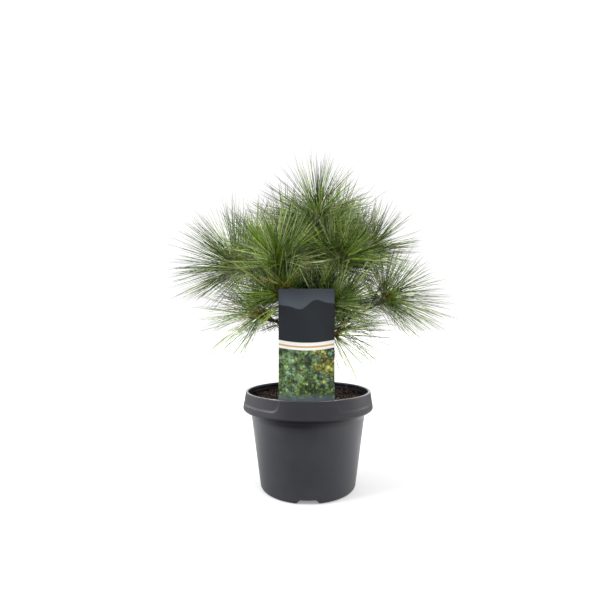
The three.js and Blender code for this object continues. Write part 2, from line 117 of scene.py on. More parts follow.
def smooth_faces(mesh, angle):
    """Smooth shading, but sharp where faces meet at more than an angle in degrees."""
    mesh.shade_smooth()
    mesh.set_sharp_from_angle(angle=math.radians(angle))


def new_object(name, points, faces, materials, face_materials=None, smooth_angle=None):
    """An object from points and faces, with one material slot for each material."""
    mesh = bpy.data.meshes.new(name)
    mesh.from_pydata(np.asarray(points).tolist(), [], faces)
    for material in materials:
        mesh.materials.append(material)
    if face_materials is not None:
        mesh.polygons.foreach_set("material_index", np.asarray(face_materials, np.int32))
    if smooth_angle is not None:
        smooth_faces(mesh, smooth_angle)
    made = bpy.data.objects.new(name, mesh)
    scene.collection.objects.link(made)
    return made


def blend_colours(tree, mask, first, second, blend="MIX"):
    """First colour where the mask is 0, second laid over it where it is 1."""
    made = add_node(tree, "ShaderNodeMix", data_type="RGBA", blend_type=blend)
    colours = [socket for socket in made.inputs if socket.type == "RGBA"]
    for socket, value in zip((made.inputs[0], *colours), (mask, first, second)):
        feed(tree, socket, value)
    return next(socket for socket in made.outputs if socket.type == "RGBA")


def worked_out(tree, operation, *numbers):
    """What a sum gives, by the name of its operation and its numbers or their sockets."""
    made = add_node(tree, "ShaderNodeMath", operation=operation)
    for socket, value in zip(made.inputs, numbers):
        feed(tree, socket, value)
    return made.outputs["Value"]


def mapped(tree, value, before=(0.0, 1.0), after=(0.0, 1.0), change="LINEAR"):
    """A value taken from one range to another and held at its ends."""
    made = add_node(tree, "ShaderNodeMapRange", interpolation_type=change, Value=value,
                    From_Min=before[0], From_Max=before[1], To_Min=after[0], To_Max=after[1])
    return made.outputs["Result"]


def piece_place(tree):
    """The place of a point on its own piece, in metres."""
    return add_node(tree, "ShaderNodeTexCoord").outputs["Object"]


floor_material, tree, shader = new_material(
    "pale_floor", Roughness=FLOOR_ROUGHNESS, Emission_Color=(1.0, 1.0, 1.0, 1.0)
)
seen = add_node(tree, "ShaderNodeLightPath").outputs["Is Camera Ray"]
tree.links.new(blend_colours(tree, seen, FLOOR_COLOUR_BOUNCED, FLOOR_COLOUR),
               shader.inputs["Base Color"])
place = piece_place(tree)
from_shade = add_node(tree, "ShaderNodeVectorMath", operation="DISTANCE", Vector=place)
from_shade.inputs[1].default_value = FLOOR_SHADE_PLACE
from_pot = add_node(tree, "ShaderNodeVectorMath", operation="LENGTH", Vector=place)
thrown = mapped(tree, from_shade.outputs["Value"], FLOOR_SHADE_REACH, FLOOR_GLOW_THROWN)
pool = mapped(tree, from_pot.outputs["Value"], FLOOR_POOL_REACH, (thrown, 0.0))
glow = mapped(tree, seen, after=(pool, FLOOR_GLOW))
tree.links.new(glow, shader.inputs["Emission Strength"])
half_floor = FLOOR_SIDE / 2
floor = new_object(
    "floor",
    [(-half_floor, -half_floor, 0), (half_floor, -half_floor, 0),
     (half_floor, half_floor, 0), (-half_floor, half_floor, 0)],
    [(0, 1, 2, 3)],
    [floor_material],
)

world = bpy.data.worlds.new("white_surroundings")
world.use_nodes = True
tree = world.node_tree
surroundings = tree.nodes["Background"]
surroundings.inputs["Color"].default_value = (1.0, 1.0, 1.0, 1.0)
way = add_node(tree, "ShaderNodeTexCoord").outputs["Generated"]
way_parts = add_node(tree, "ShaderNodeSeparateXYZ", Vector=way).outputs
all_round = mapped(tree, way_parts["Y"], BACKWARD_CHANGE,
                   (STRENGTH_BEHIND_CAMERA, STRENGTH_BEHIND_PLANT))
overhead = mapped(tree, way_parts["Z"], UPWARD_CHANGE, (0.0, STRENGTH_OVERHEAD))
brightness = worked_out(tree, "ADD", all_round, overhead)
seen = add_node(tree, "ShaderNodeLightPath").outputs["Is Camera Ray"]
strength = mapped(tree, seen, after=(brightness, STRENGTH_SEEN))
tree.links.new(strength, surroundings.inputs["Strength"])
scene.world = world

for light_name, way, strength, spread in SOFT_LIGHTS:
    light = bpy.data.lights.new(light_name, "SUN")
    light.energy = strength
    light.angle = math.radians(spread)
    lamp = bpy.data.objects.new(light_name, light)
    lamp.location = way
    lamp.rotation_euler = mathutils.Vector(way).to_track_quat("Z", "Y").to_euler()
    scene.collection.objects.link(lamp)

lens = bpy.data.cameras.new("camera")
lens.sensor_width = SENSOR_WIDTH
lens.lens = FOCAL_LENGTH_PIXELS / PHOTO_SIDE * SENSOR_WIDTH
lens.shift_x = (PHOTO_SIDE / 2 - MIDDLE_COLUMN) / PHOTO_SIDE
lens.shift_y = (HORIZON_ROW - PHOTO_SIDE / 2) / PHOTO_SIDE
camera = bpy.data.objects.new("camera", lens)
camera.location = (0.0, -CAMERA_DISTANCE, CAMERA_HEIGHT)
camera.rotation_euler = (math.radians(90), 0.0, 0.0)
scene.collection.objects.link(camera)
scene.camera = camera


# The pot: a thin-walled round nursery pot, injection moulded in dark grey polypropylene. Its
# collar stands out round the top and has long shallow recesses on both sides of a plain front
# panel. Four low arches at the foot let water out.
pot_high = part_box("pot")[1]
POT_HEIGHT = pot_high.z
COLLAR_RADIUS = pot_high.x
BASE_RADIUS = 0.070
BASE_ROUNDING = 0.005
FOOT_RING_INSIDE = 0.054
FLOOR_RISE = 0.001
BODY_TOP_RADIUS = 0.0825
BODY_TOP = 0.1015
COLLAR_WIDEST = 0.117
UNDERSIDE_SPREAD = 0.0004
# how far up the collar's underside the two middle corners of its curve lie
UNDERSIDE_PULLS = (0.85, 0.6)
RIM_RADIUS = 0.0919
RIM_INNER_RADIUS = 0.088
RIM_ROUNDING = 0.0009
RIM_DEPTH = 0.003
RIM_ARC_START = 15
WALL = 0.0018
# how finely the pot is drawn: round it, and along each part of its outline
POT_SIDES = 480
FOOT_STEPS = 8
BODY_STEPS = 8
UNDERSIDE_STEPS = 18
COLLAR_STEPS = 44
RIM_STEPS = (5, 6)
DRAIN_CORNER_STEPS = 5
RECESS_FOOT = 0.1225
RECESS_CORNER = 0.012
RECESS_SLOPE = 0.0036
# each recess by the azimuths, counted from the front, at which it starts and ends, and its depth
RECESSES = [(23, 103, 0.00022), (113, 247, 0.0005), (257, 337, 0.0006)]
DRAIN_COUNT = 4
DRAIN_HEIGHT = 0.0062
DRAIN_WIDTH_TOP = 0.022
DRAIN_WIDTH_FOOT = 0.032
DRAIN_CORNER = 0.0015
DRAIN_ARC_START = 30
DRAIN_INNER_RADIUS = 0.046
# the collar is painted a darker grey than the body: painted shade, for the collar takes less light
# than the body. The body is paler still where it is scuffed
POT_GREY = (0.0315, 0.0323, 0.0378, 1.0)
POT_SCUFFED = (0.0385, 0.0394, 0.0450, 1.0)
COLLAR_SHADED_GREY = (0.0190, 0.0190, 0.0232, 1.0)
COLLAR_SHADE_HEIGHTS = (0.106, 0.113)
POT_ROUGHNESS = (0.32, 0.42)
POT_GRAIN_SCALE = 1400.0
POT_SMUDGE_SCALE = 22.0
SMUDGE_EDGES = (0.42, 0.72)


def bezier(corners, along):
    """Points of a cubic curve at the given shares of its way."""
    t = np.asarray(along, float)[:, None]
    a, b, c, d = (np.asarray(corner, float) for corner in corners)
    return a * (1 - t) ** 3 + 3 * b * t * (1 - t) ** 2 + 3 * c * t ** 2 * (1 - t) + d * t ** 3


def arc(centre, radius, start, end, steps):
    """Points on an arc, from a start angle to an end angle in degrees."""
    turn = np.radians(np.linspace(start, end, steps))
    return np.asarray(centre) + radius * np.column_stack((np.cos(turn), np.sin(turn)))


def moved_in(profile, distance):
    """A profile moved square to itself, towards the inside of the pot."""
    way = np.gradient(profile, axis=0)
    way /= np.linalg.norm(way, axis=1)[:, None]
    return profile + distance * np.column_stack((-way[:, 1], way[:, 0]))


def copied_faces(faces, step, count):
    """The faces of many shapes alike, whose points start a step after each other."""
    faces = np.asarray(faces)
    return (faces[None] + step * np.arange(count)[:, None, None]).reshape(-1, faces.shape[1])


def band_faces(rings, sides):
    """The faces between rings of points, each ring with the same number of sides."""
    first = np.arange(sides)
    after = (first + 1) % sides
    band = np.column_stack((first, after, sides + after, sides + first))
    return copied_faces(band, sides, rings - 1)


def turned(profile, sides):
    """A profile of radius and height, from axis to axis, turned round the upright axis."""
    rings = np.asarray(profile)[1:-1]
    turn = 2 * math.pi * np.arange(sides) / sides
    points = np.empty((len(rings), sides, 3))
    points[:, :, 0] = rings[:, :1] * np.cos(turn)
    points[:, :, 1] = rings[:, :1] * np.sin(turn)
    points[:, :, 2] = rings[:, 1:]
    first = np.arange(sides)
    after = (first + 1) % sides
    start = len(rings) * sides
    last = start - sides
    faces = band_faces(len(rings), sides).tolist()
    faces += np.column_stack((np.full(sides, start), after, first)).tolist()
    faces += np.column_stack((np.full(sides, start + 1), last + first, last + after)).tolist()
    ends = np.array([(0, 0, profile[0][1]), (0, 0, profile[-1][1])])
    return np.vstack((points.reshape(-1, 3), ends)), faces


def smooth_step(share):
    """A share held from 0 to 1 that starts and ends gently."""
    held = np.clip(share, 0.0, 1.0)
    return held * held * (3 - 2 * held)


def wall_outside():
    """The outer face from the foot to the rim, as radius and height."""
    foot = arc((BASE_RADIUS - BASE_ROUNDING, BASE_ROUNDING), BASE_ROUNDING, -90, 0, FOOT_STEPS)
    heights = [BODY_TOP + pull * (COLLAR_WIDEST - BODY_TOP) for pull in UNDERSIDE_PULLS]
    underside = bezier(
        [(BODY_TOP_RADIUS, BODY_TOP),
         (BODY_TOP_RADIUS + UNDERSIDE_SPREAD, heights[0]),
         (COLLAR_RADIUS + UNDERSIDE_SPREAD, heights[1]),
         (COLLAR_RADIUS, COLLAR_WIDEST)],
        np.linspace(0, 1, UNDERSIDE_STEPS),
    )
    body = np.linspace(foot[-1], underside[0], BODY_STEPS)[1:-1]
    collar = np.linspace(underside[-1], (RIM_RADIUS, POT_HEIGHT - RIM_ROUNDING), COLLAR_STEPS)
    return np.vstack((foot, body, underside, collar[1:]))


def pot_profile():
    """The whole wall as radius and height, from the underside's middle round to the floor's."""
    outside = wall_outside()
    inside = moved_in(outside, WALL)
    inside = inside[inside[:, 1] < POT_HEIGHT - RIM_DEPTH - WALL]
    middle = POT_HEIGHT - RIM_ROUNDING
    return np.vstack((
        [(0, FLOOR_RISE), (FOOT_RING_INSIDE, FLOOR_RISE), (FOOT_RING_INSIDE + FLOOR_RISE, 0)],
        outside,
        arc((RIM_RADIUS - RIM_ROUNDING, middle), RIM_ROUNDING, RIM_ARC_START, 90, RIM_STEPS[0]),
        arc((RIM_INNER_RADIUS + RIM_ROUNDING, middle), RIM_ROUNDING, 90, 180, RIM_STEPS[1]),
        [(RIM_INNER_RADIUS, POT_HEIGHT - RIM_DEPTH)],
        inside[::-1],
        [(0, inside[0][1])],
    ))


def press_recesses(points):
    """Moves the collar's outer face in where a recess lies, with sloping edges."""
    radius = np.hypot(points[:, 0], points[:, 1])
    azimuth = np.degrees(np.arctan2(points[:, 0], -points[:, 1])) % 360
    moved = np.zeros(len(points))
    for start, end, depth in RECESSES:
        middle = (start + end) / 2
        half_width = math.radians(end - start) / 2 * RIM_RADIUS
        across = np.abs(np.radians(azimuth - middle)) * RIM_RADIUS - (half_width - RECESS_CORNER)
        below = RECESS_FOOT + RECESS_CORNER - points[:, 2]
        outside = np.hypot(np.maximum(across, 0), np.maximum(below, 0))
        distance = outside + np.minimum(np.maximum(across, below), 0) - RECESS_CORNER
        moved = np.maximum(moved, depth * smooth_step(-distance / RECESS_SLOPE))
    outer_face = radius > RIM_RADIUS - RIM_ROUNDING
    share = 1 - moved * outer_face / np.maximum(radius, RIM_RADIUS / 2)
    points[:, :2] *= share[:, None]
    return points


def drain_cutters():
    """Four low arches with sloped ends that run out through the foot of the wall."""
    foot = DRAIN_WIDTH_FOOT / 2
    top = DRAIN_WIDTH_TOP / 2
    corner = DRAIN_CORNER
    side = [(foot + corner, -corner), (foot, 0.0), (top + corner, DRAIN_HEIGHT - corner)]
    middle = (top - corner, DRAIN_HEIGHT - 2 * corner)
    side += [tuple(point) for point in
             arc(middle, 2 * corner, DRAIN_ARC_START, 90, DRAIN_CORNER_STEPS)]
    outline = side + [(-x, z) for x, z in reversed(side)]
    count = len(outline)
    points, faces = [], []
    for drain in range(DRAIN_COUNT):
        turn = 2 * math.pi * drain / DRAIN_COUNT
        start = len(points)
        for depth in (DRAIN_INNER_RADIUS, COLLAR_RADIUS):
            for x, z in outline:
                points.append((
                    x * math.cos(turn) + depth * math.sin(turn),
                    x * math.sin(turn) - depth * math.cos(turn),
                    z,
                ))
        faces.append([start + i for i in reversed(range(count))])
        faces.append([start + count + i for i in range(count)])
        for i in range(count):
            after = (i + 1) % count
            faces.append((start + i, start + after, start + count + after, start + count + i))
    return points, faces


def apply_modifiers(piece):
    """Makes what a piece's modifiers give its own mesh."""
    evaluated = piece.evaluated_get(bpy.context.evaluated_depsgraph_get())
    piece.data = bpy.data.meshes.new_from_object(evaluated)
    piece.modifiers.clear()


def new_group(name, inputs, outputs):
    """A shader node group with its named numbers going in and out."""
    group = bpy.data.node_groups.new(name, "ShaderNodeTree")
    for way, sockets in (("INPUT", inputs), ("OUTPUT", outputs)):
        for socket in sockets:
            group.interface.new_socket(socket, in_out=way, socket_type="NodeSocketFloat")
    given = add_node(group, "NodeGroupInput").outputs
    result = add_node(group, "NodeGroupOutput").inputs
    return group, given, result


def noise(tree, place, scale, detail, roughness=0.5, output="Fac"):
    """Soft noise over a place."""
    made = add_node(tree, "ShaderNodeTexNoise", Vector=place, Scale=scale, Detail=detail,
                    Roughness=roughness)
    return made.outputs[output]


def raise_grain(tree, shader, height, strength, distance):
    """Fine relief on a material, from a height and how deep it is in metres."""
    bump = add_node(tree, "ShaderNodeBump", Strength=strength, Distance=distance, Height=height)
    tree.links.new(bump.outputs["Normal"], shader.inputs["Normal"])


# the fine grain of a moulded face, with slow smudges: a height and a mask
moulded_grain, given, result = new_group(
    "moulded_grain", ("Grain Scale", "Smudge Scale"), ("Height", "Mask")
)
place = piece_place(moulded_grain)
grain = noise(moulded_grain, place, given["Grain Scale"], detail=3.0, roughness=0.6)
smudge = noise(moulded_grain, place, given["Smudge Scale"], detail=5.0, roughness=0.62)
moulded_grain.links.new(grain, result["Height"])
moulded_grain.links.new(mapped(moulded_grain, smudge, SMUDGE_EDGES), result["Mask"])


def moulded_finish(tree, shader, grain_scale, smudge_scale, roughness, strength, distance):
    """Gives a plastic its grain and its uneven sheen, and puts out the mask of its smudges."""
    grain = add_node(tree, "ShaderNodeGroup", node_tree=moulded_grain, Grain_Scale=grain_scale,
                     Smudge_Scale=smudge_scale)
    sheen = mapped(tree, grain.outputs["Mask"], after=roughness)
    tree.links.new(sheen, shader.inputs["Roughness"])
    raise_grain(tree, shader, grain.outputs["Height"], strength, distance)
    return grain.outputs["Mask"]


pot_plastic, tree, shader = new_material("dark_grey_pot_plastic", Base_Color=POT_GREY)
smudges = moulded_finish(tree, shader, POT_GRAIN_SCALE, POT_SMUDGE_SCALE, POT_ROUGHNESS,
                         strength=0.35, distance=0.00006)
body_grey = blend_colours(tree, smudges, POT_GREY, POT_SCUFFED)
height = add_node(tree, "ShaderNodeSeparateXYZ", Vector=piece_place(tree)).outputs["Z"]
# painted shade: from these heights up, the collar gets its darker grey
collar_shade_mask = mapped(tree, height, COLLAR_SHADE_HEIGHTS)
tree.links.new(blend_colours(tree, collar_shade_mask, body_grey, COLLAR_SHADED_GREY), shader.inputs["Base Color"])

pot_points, pot_faces = turned(pot_profile(), POT_SIDES)
pot = new_object("pot_shell", press_recesses(pot_points), pot_faces, [pot_plastic])
cutter = new_object("drain_cutter", *drain_cutters(), [])
drains = pot.modifiers.new("drains", "BOOLEAN")
drains.operation = "DIFFERENCE"
drains.solver = "EXACT"
drains.object = cutter
apply_modifiers(pot)
bpy.data.objects.remove(cutter)
smooth_faces(pot.data, angle=40)
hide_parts("pot")
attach(pot, "root")


# The soil: dark moist peat with bark bits, filled to a finger's width below the rim. It is one
# lumpy plug that follows the pot's wall, a little raised round the trunk, and it stays clear of
# the drains, where the pot's foot keeps an open channel.
SOIL_LEVEL = 0.128
SOIL_SLACK = 0.0003
CHANNEL_RADIUS = 0.045
CHANNEL_HEIGHT = 0.009
SOIL_RING_COUNT = 56
SOIL_SIDES = 220
# wavelength and height of the soil's lumps, and the seed of the first of them
SOIL_LUMPS = [(0.026, 0.0011), (0.009, 0.0007), (0.0035, 0.0005)]
SOIL_SEED = 31
SOIL_WALL_BAND = 0.006
SOIL_MOUND = 0.0012
SOIL_MOUND_RADIUS = 0.03
SOIL_DARK = (0.0036, 0.0026, 0.0021, 1.0)
SOIL_BROWN = (0.0115, 0.0068, 0.0046, 1.0)
SOIL_TINTS = [(0.46, SOIL_DARK), (0.68, SOIL_BROWN)]
SOIL_ROUGHNESS = 0.92
CLOD_SCALE = 420.0
FIELD_WAVES = 14
FIELD_WAVE_RANGE = (0.6, 1.4)

side = moved_in(wall_outside(), WALL + SOIL_SLACK)
foot_height = side[0, 1]
side = side[(side[:, 1] < SOIL_LEVEL) & (side[:, 1] > CHANNEL_HEIGHT)]
soil_edge = side[-1, 0]


def rough_field(points, wavelength, seed):
    """A smooth seeded field over points, from about -1 to 1, with a given wavelength."""
    random = np.random.default_rng(seed)
    ways = random.normal(size=(FIELD_WAVES, 3))
    stretch = random.uniform(*FIELD_WAVE_RANGE, (FIELD_WAVES, 1))
    ways *= stretch / np.linalg.norm(ways, axis=1, keepdims=True)
    shifts = random.uniform(0, 2 * math.pi, FIELD_WAVES)
    total = np.sin(points @ ways.T * (2 * math.pi / wavelength) + shifts).sum(axis=1)
    return total / math.sqrt(FIELD_WAVES)


def lumps(points, sizes, seed):
    """Lumps of several sizes, each a wavelength and a height, added up."""
    return sum(
        height * rough_field(points, wavelength, seed + row)
        for row, (wavelength, height) in enumerate(sizes)
    )


def soil_height(x, y):
    """The soil's surface over a place, with lumps that fade out at the wall."""
    spots = np.column_stack((x, y, np.zeros_like(x)))
    radius = np.hypot(x, y)
    inwards = smooth_step((soil_edge - radius) / SOIL_WALL_BAND)
    mound = SOIL_MOUND * smooth_step(1 - radius / SOIL_MOUND_RADIUS)
    return SOIL_LEVEL + lumps(spots, SOIL_LUMPS, SOIL_SEED) * inwards + mound


def colour_ramp(tree, value, stops):
    """A colour ramp with the given stops."""
    made = add_node(tree, "ShaderNodeValToRGB", Fac=value)
    for position, colour in stops[1:-1]:
        made.color_ramp.elements.new(position)
    for element, (position, colour) in zip(made.color_ramp.elements, stops):
        element.position = position
        element.color = colour
    return made.outputs["Color"]


rings = np.linspace(soil_edge, 0, SOIL_RING_COUNT)
top = np.column_stack((rings, np.full(SOIL_RING_COUNT, SOIL_LEVEL)))
foot = [(0, foot_height), (CHANNEL_RADIUS, foot_height), (CHANNEL_RADIUS, side[0, 1])]
soil_points, soil_faces = turned(np.vstack((foot, side, top)), SOIL_SIDES)
on_top = soil_points[:, 2] > SOIL_LEVEL - SOIL_SLACK
soil_points[on_top, 2] = soil_height(soil_points[on_top, 0], soil_points[on_top, 1])

soil_mix, tree, shader = new_material(
    "moist_peat", Base_Color=SOIL_DARK, Roughness=SOIL_ROUGHNESS, Specular_IOR_Level=0.12
)
clods = noise(tree, piece_place(tree), CLOD_SCALE, detail=6.0, roughness=0.7)
tree.links.new(colour_ramp(tree, clods, SOIL_TINTS), shader.inputs["Base Color"])
raise_grain(tree, shader, clods, strength=0.8, distance=0.0006)

soil = new_object("soil_plug", soil_points, soil_faces, [soil_mix], smooth_angle=60)
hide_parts("soil")
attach(soil, "root")


# The soil's loose top: small crumbs of peat and larger flat chips of composted bark, which lie
# on the plug and a little sunk into it. Both mix natural browns, from black peat to tan wood.
BITS_SEED = 4
# crumbs and then chips: how many, their sizes, their flatness and the shares of their colours
BITS = [
    (2600, (0.0007, 0.0021), (1.0, 0.85, 0.7), (0.42, 0.32, 0.10, 0.13, 0.03)),
    (420, (0.0018, 0.0042), (1.0, 0.55, 0.28), (0.10, 0.26, 0.24, 0.32, 0.08)),
]
BITS_SINK = 0.25
CORNER_REACH = (0.65, 1.2)
CORNER_JITTER = 0.16
TRUNK_CLEAR = 0.011
BITS_COLOURS = {
    "peat_black": (0.005, 0.004, 0.0034, 1.0),
    "peat_brown": (0.017, 0.0100, 0.0068, 1.0),
    "bark_chip_red": (0.062, 0.030, 0.019, 1.0),
    "bark_chip_brown": (0.040, 0.025, 0.0165, 1.0),
    "wood_fibre_tan": (0.12, 0.082, 0.054, 1.0),
}
FIBRE_SCALE = 1600.0
EIGHT_SIDED = np.array(
    [(1, 0, 0), (-1, 0, 0), (0, 1, 0), (0, -1, 0), (0, 0, 1), (0, 0, -1)], float
)
EIGHT_FACES = [
    (0, 2, 4), (2, 1, 4), (1, 3, 4), (3, 0, 4), (2, 0, 5), (1, 2, 5), (3, 1, 5), (0, 3, 5)
]


def random_turns(count, random):
    """Turning matrices that point every way alike."""
    q = random.normal(size=(count, 4))
    q /= np.linalg.norm(q, axis=1)[:, None]
    w, x, y, z = q.T
    return np.stack([
        np.stack([1 - 2 * (y * y + z * z), 2 * (x * y - z * w), 2 * (x * z + y * w)], axis=1),
        np.stack([2 * (x * y + z * w), 1 - 2 * (x * x + z * z), 2 * (y * z - x * w)], axis=1),
        np.stack([2 * (x * z - y * w), 2 * (y * z + x * w), 1 - 2 * (x * x + y * y)], axis=1),
    ], axis=1)


def scattered_bits(count, sizes, flatness, shares, random):
    """Uneven bits with eight sides, spread over the soil: their points, faces and colours."""
    radius = np.sqrt(random.uniform(0, 1, count)) * (soil_edge - sizes[1])
    turn = random.uniform(0, 2 * math.pi, count)
    kept = radius > TRUNK_CLEAR
    radius, turn = radius[kept], turn[kept]
    count = len(radius)
    x, y = radius * np.cos(turn), radius * np.sin(turn)
    size = random.uniform(*sizes, count)
    reach = random.uniform(*CORNER_REACH, (count, len(EIGHT_SIDED), 1))
    uneven = EIGHT_SIDED * reach * np.array(flatness)
    uneven = uneven + random.normal(0, CORNER_JITTER, uneven.shape)
    shaped = np.einsum("nij,nkj->nki", random_turns(count, random), uneven)
    lift = soil_height(x, y) + size * np.min(flatness) * (1 - BITS_SINK)
    points = shaped * size[:, None, None] + np.stack([x, y, lift], axis=1)[:, None, :]
    faces = copied_faces(EIGHT_FACES, len(EIGHT_SIDED), count).tolist()
    colours = random.choice(len(BITS_COLOURS), count, p=shares)
    return points.reshape(-1, 3), faces, np.repeat(colours, len(EIGHT_FACES))


# the fine unevenness of a grown face, as a mask
fine_grain, given, result = new_group("fine_grain", ("Scale", "Detail"), ("Mask",))
grain = noise(fine_grain, piece_place(fine_grain), given["Scale"], given["Detail"])
fine_grain.links.new(grain, result["Mask"])


def rough_materials(colours, roughness, specular, grain_scale, strength, distance):
    """One material for each named colour, all with the same finish and fine relief."""
    made = []
    for name, colour in colours.items():
        material, tree, shader = new_material(
            name, Base_Color=colour, Roughness=roughness, Specular_IOR_Level=specular
        )
        grain = add_node(tree, "ShaderNodeGroup", node_tree=fine_grain, Scale=grain_scale,
                         Detail=3.0)
        raise_grain(tree, shader, grain.outputs["Mask"], strength, distance)
        made.append(material)
    return made


def joined(parts):
    """Several (points, faces) as one."""
    points, faces = [], []
    start = 0
    for part_points, part_faces in parts:
        points.append(part_points)
        faces += [[start + corner for corner in face] for face in part_faces]
        start += len(part_points)
    return np.vstack(points), faces


random = np.random.default_rng(BITS_SEED)
points, faces, colours = zip(*[scattered_bits(*kind, random) for kind in BITS])
bit_materials = rough_materials(
    BITS_COLOURS, roughness=0.85, specular=0.15, grain_scale=FIBRE_SCALE, strength=0.6,
    distance=0.0002,
)
crumbs = new_object(
    "soil_crumbs", *joined(zip(points, faces)), bit_materials, np.concatenate(colours)
)
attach(crumbs, "root")


# The plant card: one die-cut sheet of satin printed plastic on a stake that is pushed into the
# soil. The print is a generic one: an evening sky over low hills, a dark field with nothing on
# it, a pale band, and a loose pattern of small leaves that fades into slate at the foot.
card_low, card_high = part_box("label_card")
CARD_FOOT = 0.132
CARD_TOP = card_high.z
CARD_MIDDLE = (card_high.x + card_low.x) / 2
CARD_HALF_WIDTH = (card_high.x - card_low.x) / 2
CARD_SKY_HIGH = (0.042, 0.051, 0.062, 1.0)
CARD_SKY_LOW = (0.060, 0.073, 0.087, 1.0)
CARD_FIELD = (0.0120, 0.0148, 0.0190, 1.0)
CARD_FOOT_SLATE = (0.064, 0.082, 0.098, 1.0)
CARD_BAND_WHITE = (0.74, 0.74, 0.70, 1.0)
CARD_BAND_OCHRE = (0.52, 0.31, 0.12, 1.0)
CARD_EDGE = 0.0003
# the hills' height on the card, and the waves that shape them: each one's height, and the angle
# in radians that it goes through in a metre
CARD_HILLS = 0.262
CARD_HILL_WAVES = [(0.0055, 95.0), (0.0055 / 3, 210.0)]
CARD_BAND = 0.203
CARD_BAND_DIP = 0.004
CARD_BAND_WIDTH = 0.0098
CARD_STRIPE_WIDTH = 0.0021
CARD_FADE = (0.138, 0.150)
# the planting's colours by the drifts that they grow in, and how light or dark its leaves are
CARD_DRIFTS = [
    (0.34, (0.060, 0.120, 0.024, 1.0)),
    (0.44, (0.210, 0.330, 0.080, 1.0)),
    (0.52, (0.220, 0.370, 0.250, 1.0)),
    (0.59, (0.520, 0.620, 0.110, 1.0)),
    (0.68, (0.480, 0.170, 0.075, 1.0)),
]
CARD_LEAF_LIGHT = [
    (0.26, (0.06, 0.06, 0.06, 1.0)),
    (0.54, (0.42, 0.42, 0.42, 1.0)),
    (0.84, (0.96, 0.96, 0.96, 1.0)),
]
CARD_LEAF_PALE = (0.560, 0.640, 0.360, 1.0)
CARD_PALE_LIGHTS = (0.78, 1.05)
CARD_LEAF_SCALE = 310.0
CARD_DRIFT_SCALE = 34.0
CARD_CLUMP_SCALE = 120.0
CARD_WAVER_SCALE = 130.0
CARD_LEAF_WAVER = 0.004
# how far each leaf strays from its drift's colour, and what its light is made up of
CARD_LEAF_STRAY = 0.10
CARD_CLUMP_LIGHT = 1.5
CARD_LEAF_OWN_LIGHT = 0.36
CARD_LEAF_EDGE_LIGHT = -0.5
CARD_LIGHT_TAKEN = 0.22
CARD_FACING = (0.4, 0.6)
CARD_ROUGHNESS = (0.38, 0.5)
CARD_GRAIN_SCALE = 1100.0
CARD_SMUDGE_SCALE = 30.0


def ramp_mask(tree, value, start, end):
    """0 below start, 1 above end, with a smooth change between."""
    return mapped(tree, value, (start, end), change="SMOOTHSTEP")


def above(tree, height, edge):
    """A mask over an edge of the print, with the soft border of printed ink."""
    return ramp_mask(tree, height, edge - CARD_EDGE, edge + CARD_EDGE)


card_print, tree, shader = new_material(
    "printed_card", Base_Color=CARD_FIELD, Specular_IOR_Level=0.45
)
coordinates = add_node(tree, "ShaderNodeTexCoord").outputs
parts = add_node(tree, "ShaderNodeSeparateXYZ", Vector=coordinates["Object"]).outputs
across, upwards = parts["X"], parts["Z"]

over_hills = upwards
for wave_height, angle in CARD_HILL_WAVES:
    wave = worked_out(tree, "SINE", worked_out(tree, "MULTIPLY", across, angle))
    over_hills = worked_out(tree, "SUBTRACT", over_hills,
                            worked_out(tree, "MULTIPLY", wave, wave_height))
sky = blend_colours(tree, ramp_mask(tree, upwards, CARD_HILLS, CARD_TOP), CARD_SKY_LOW,
                    CARD_SKY_HIGH)
upper = blend_colours(tree, above(tree, over_hills, CARD_HILLS), CARD_FIELD, sky)

waver = noise(tree, coordinates["Object"], CARD_WAVER_SCALE, detail=4.0, roughness=0.6,
              output="Color")
wavered = add_node(tree, "ShaderNodeVectorMath", operation="MULTIPLY_ADD", Vector=waver)
wavered.inputs[1].default_value = (CARD_LEAF_WAVER,) * 3
tree.links.new(coordinates["Object"], wavered.inputs[2])
spot = wavered.outputs["Vector"]
leaves = add_node(tree, "ShaderNodeTexVoronoi", Vector=spot, Scale=CARD_LEAF_SCALE,
                  Randomness=1.0).outputs
each_leaf = add_node(tree, "ShaderNodeSeparateColor", Color=leaves["Color"]).outputs
stray = worked_out(tree, "MULTIPLY", worked_out(tree, "SUBTRACT", each_leaf["Red"], 0.5),
                   CARD_LEAF_STRAY)
drifts = noise(tree, spot, CARD_DRIFT_SCALE, detail=3.0, roughness=0.6)
by_leaf = worked_out(tree, "ADD", drifts, stray)
clumps = noise(tree, spot, CARD_CLUMP_SCALE, detail=5.0, roughness=0.7)
leaf_light = -CARD_LIGHT_TAKEN
for value, share in (
    (clumps, CARD_CLUMP_LIGHT),
    (each_leaf["Green"], CARD_LEAF_OWN_LIGHT),
    (leaves["Distance"], CARD_LEAF_EDGE_LIGHT),
):
    leaf_light = worked_out(tree, "ADD", leaf_light, worked_out(tree, "MULTIPLY", value, share))
shaded_leaves = blend_colours(tree, 1.0, colour_ramp(tree, by_leaf, CARD_DRIFTS),
                              colour_ramp(tree, leaf_light, CARD_LEAF_LIGHT), "MULTIPLY")
planting = blend_colours(tree, ramp_mask(tree, leaf_light, *CARD_PALE_LIGHTS), shaded_leaves,
                         CARD_LEAF_PALE)
lower = blend_colours(tree, ramp_mask(tree, upwards, *CARD_FADE), CARD_FOOT_SLATE, planting)

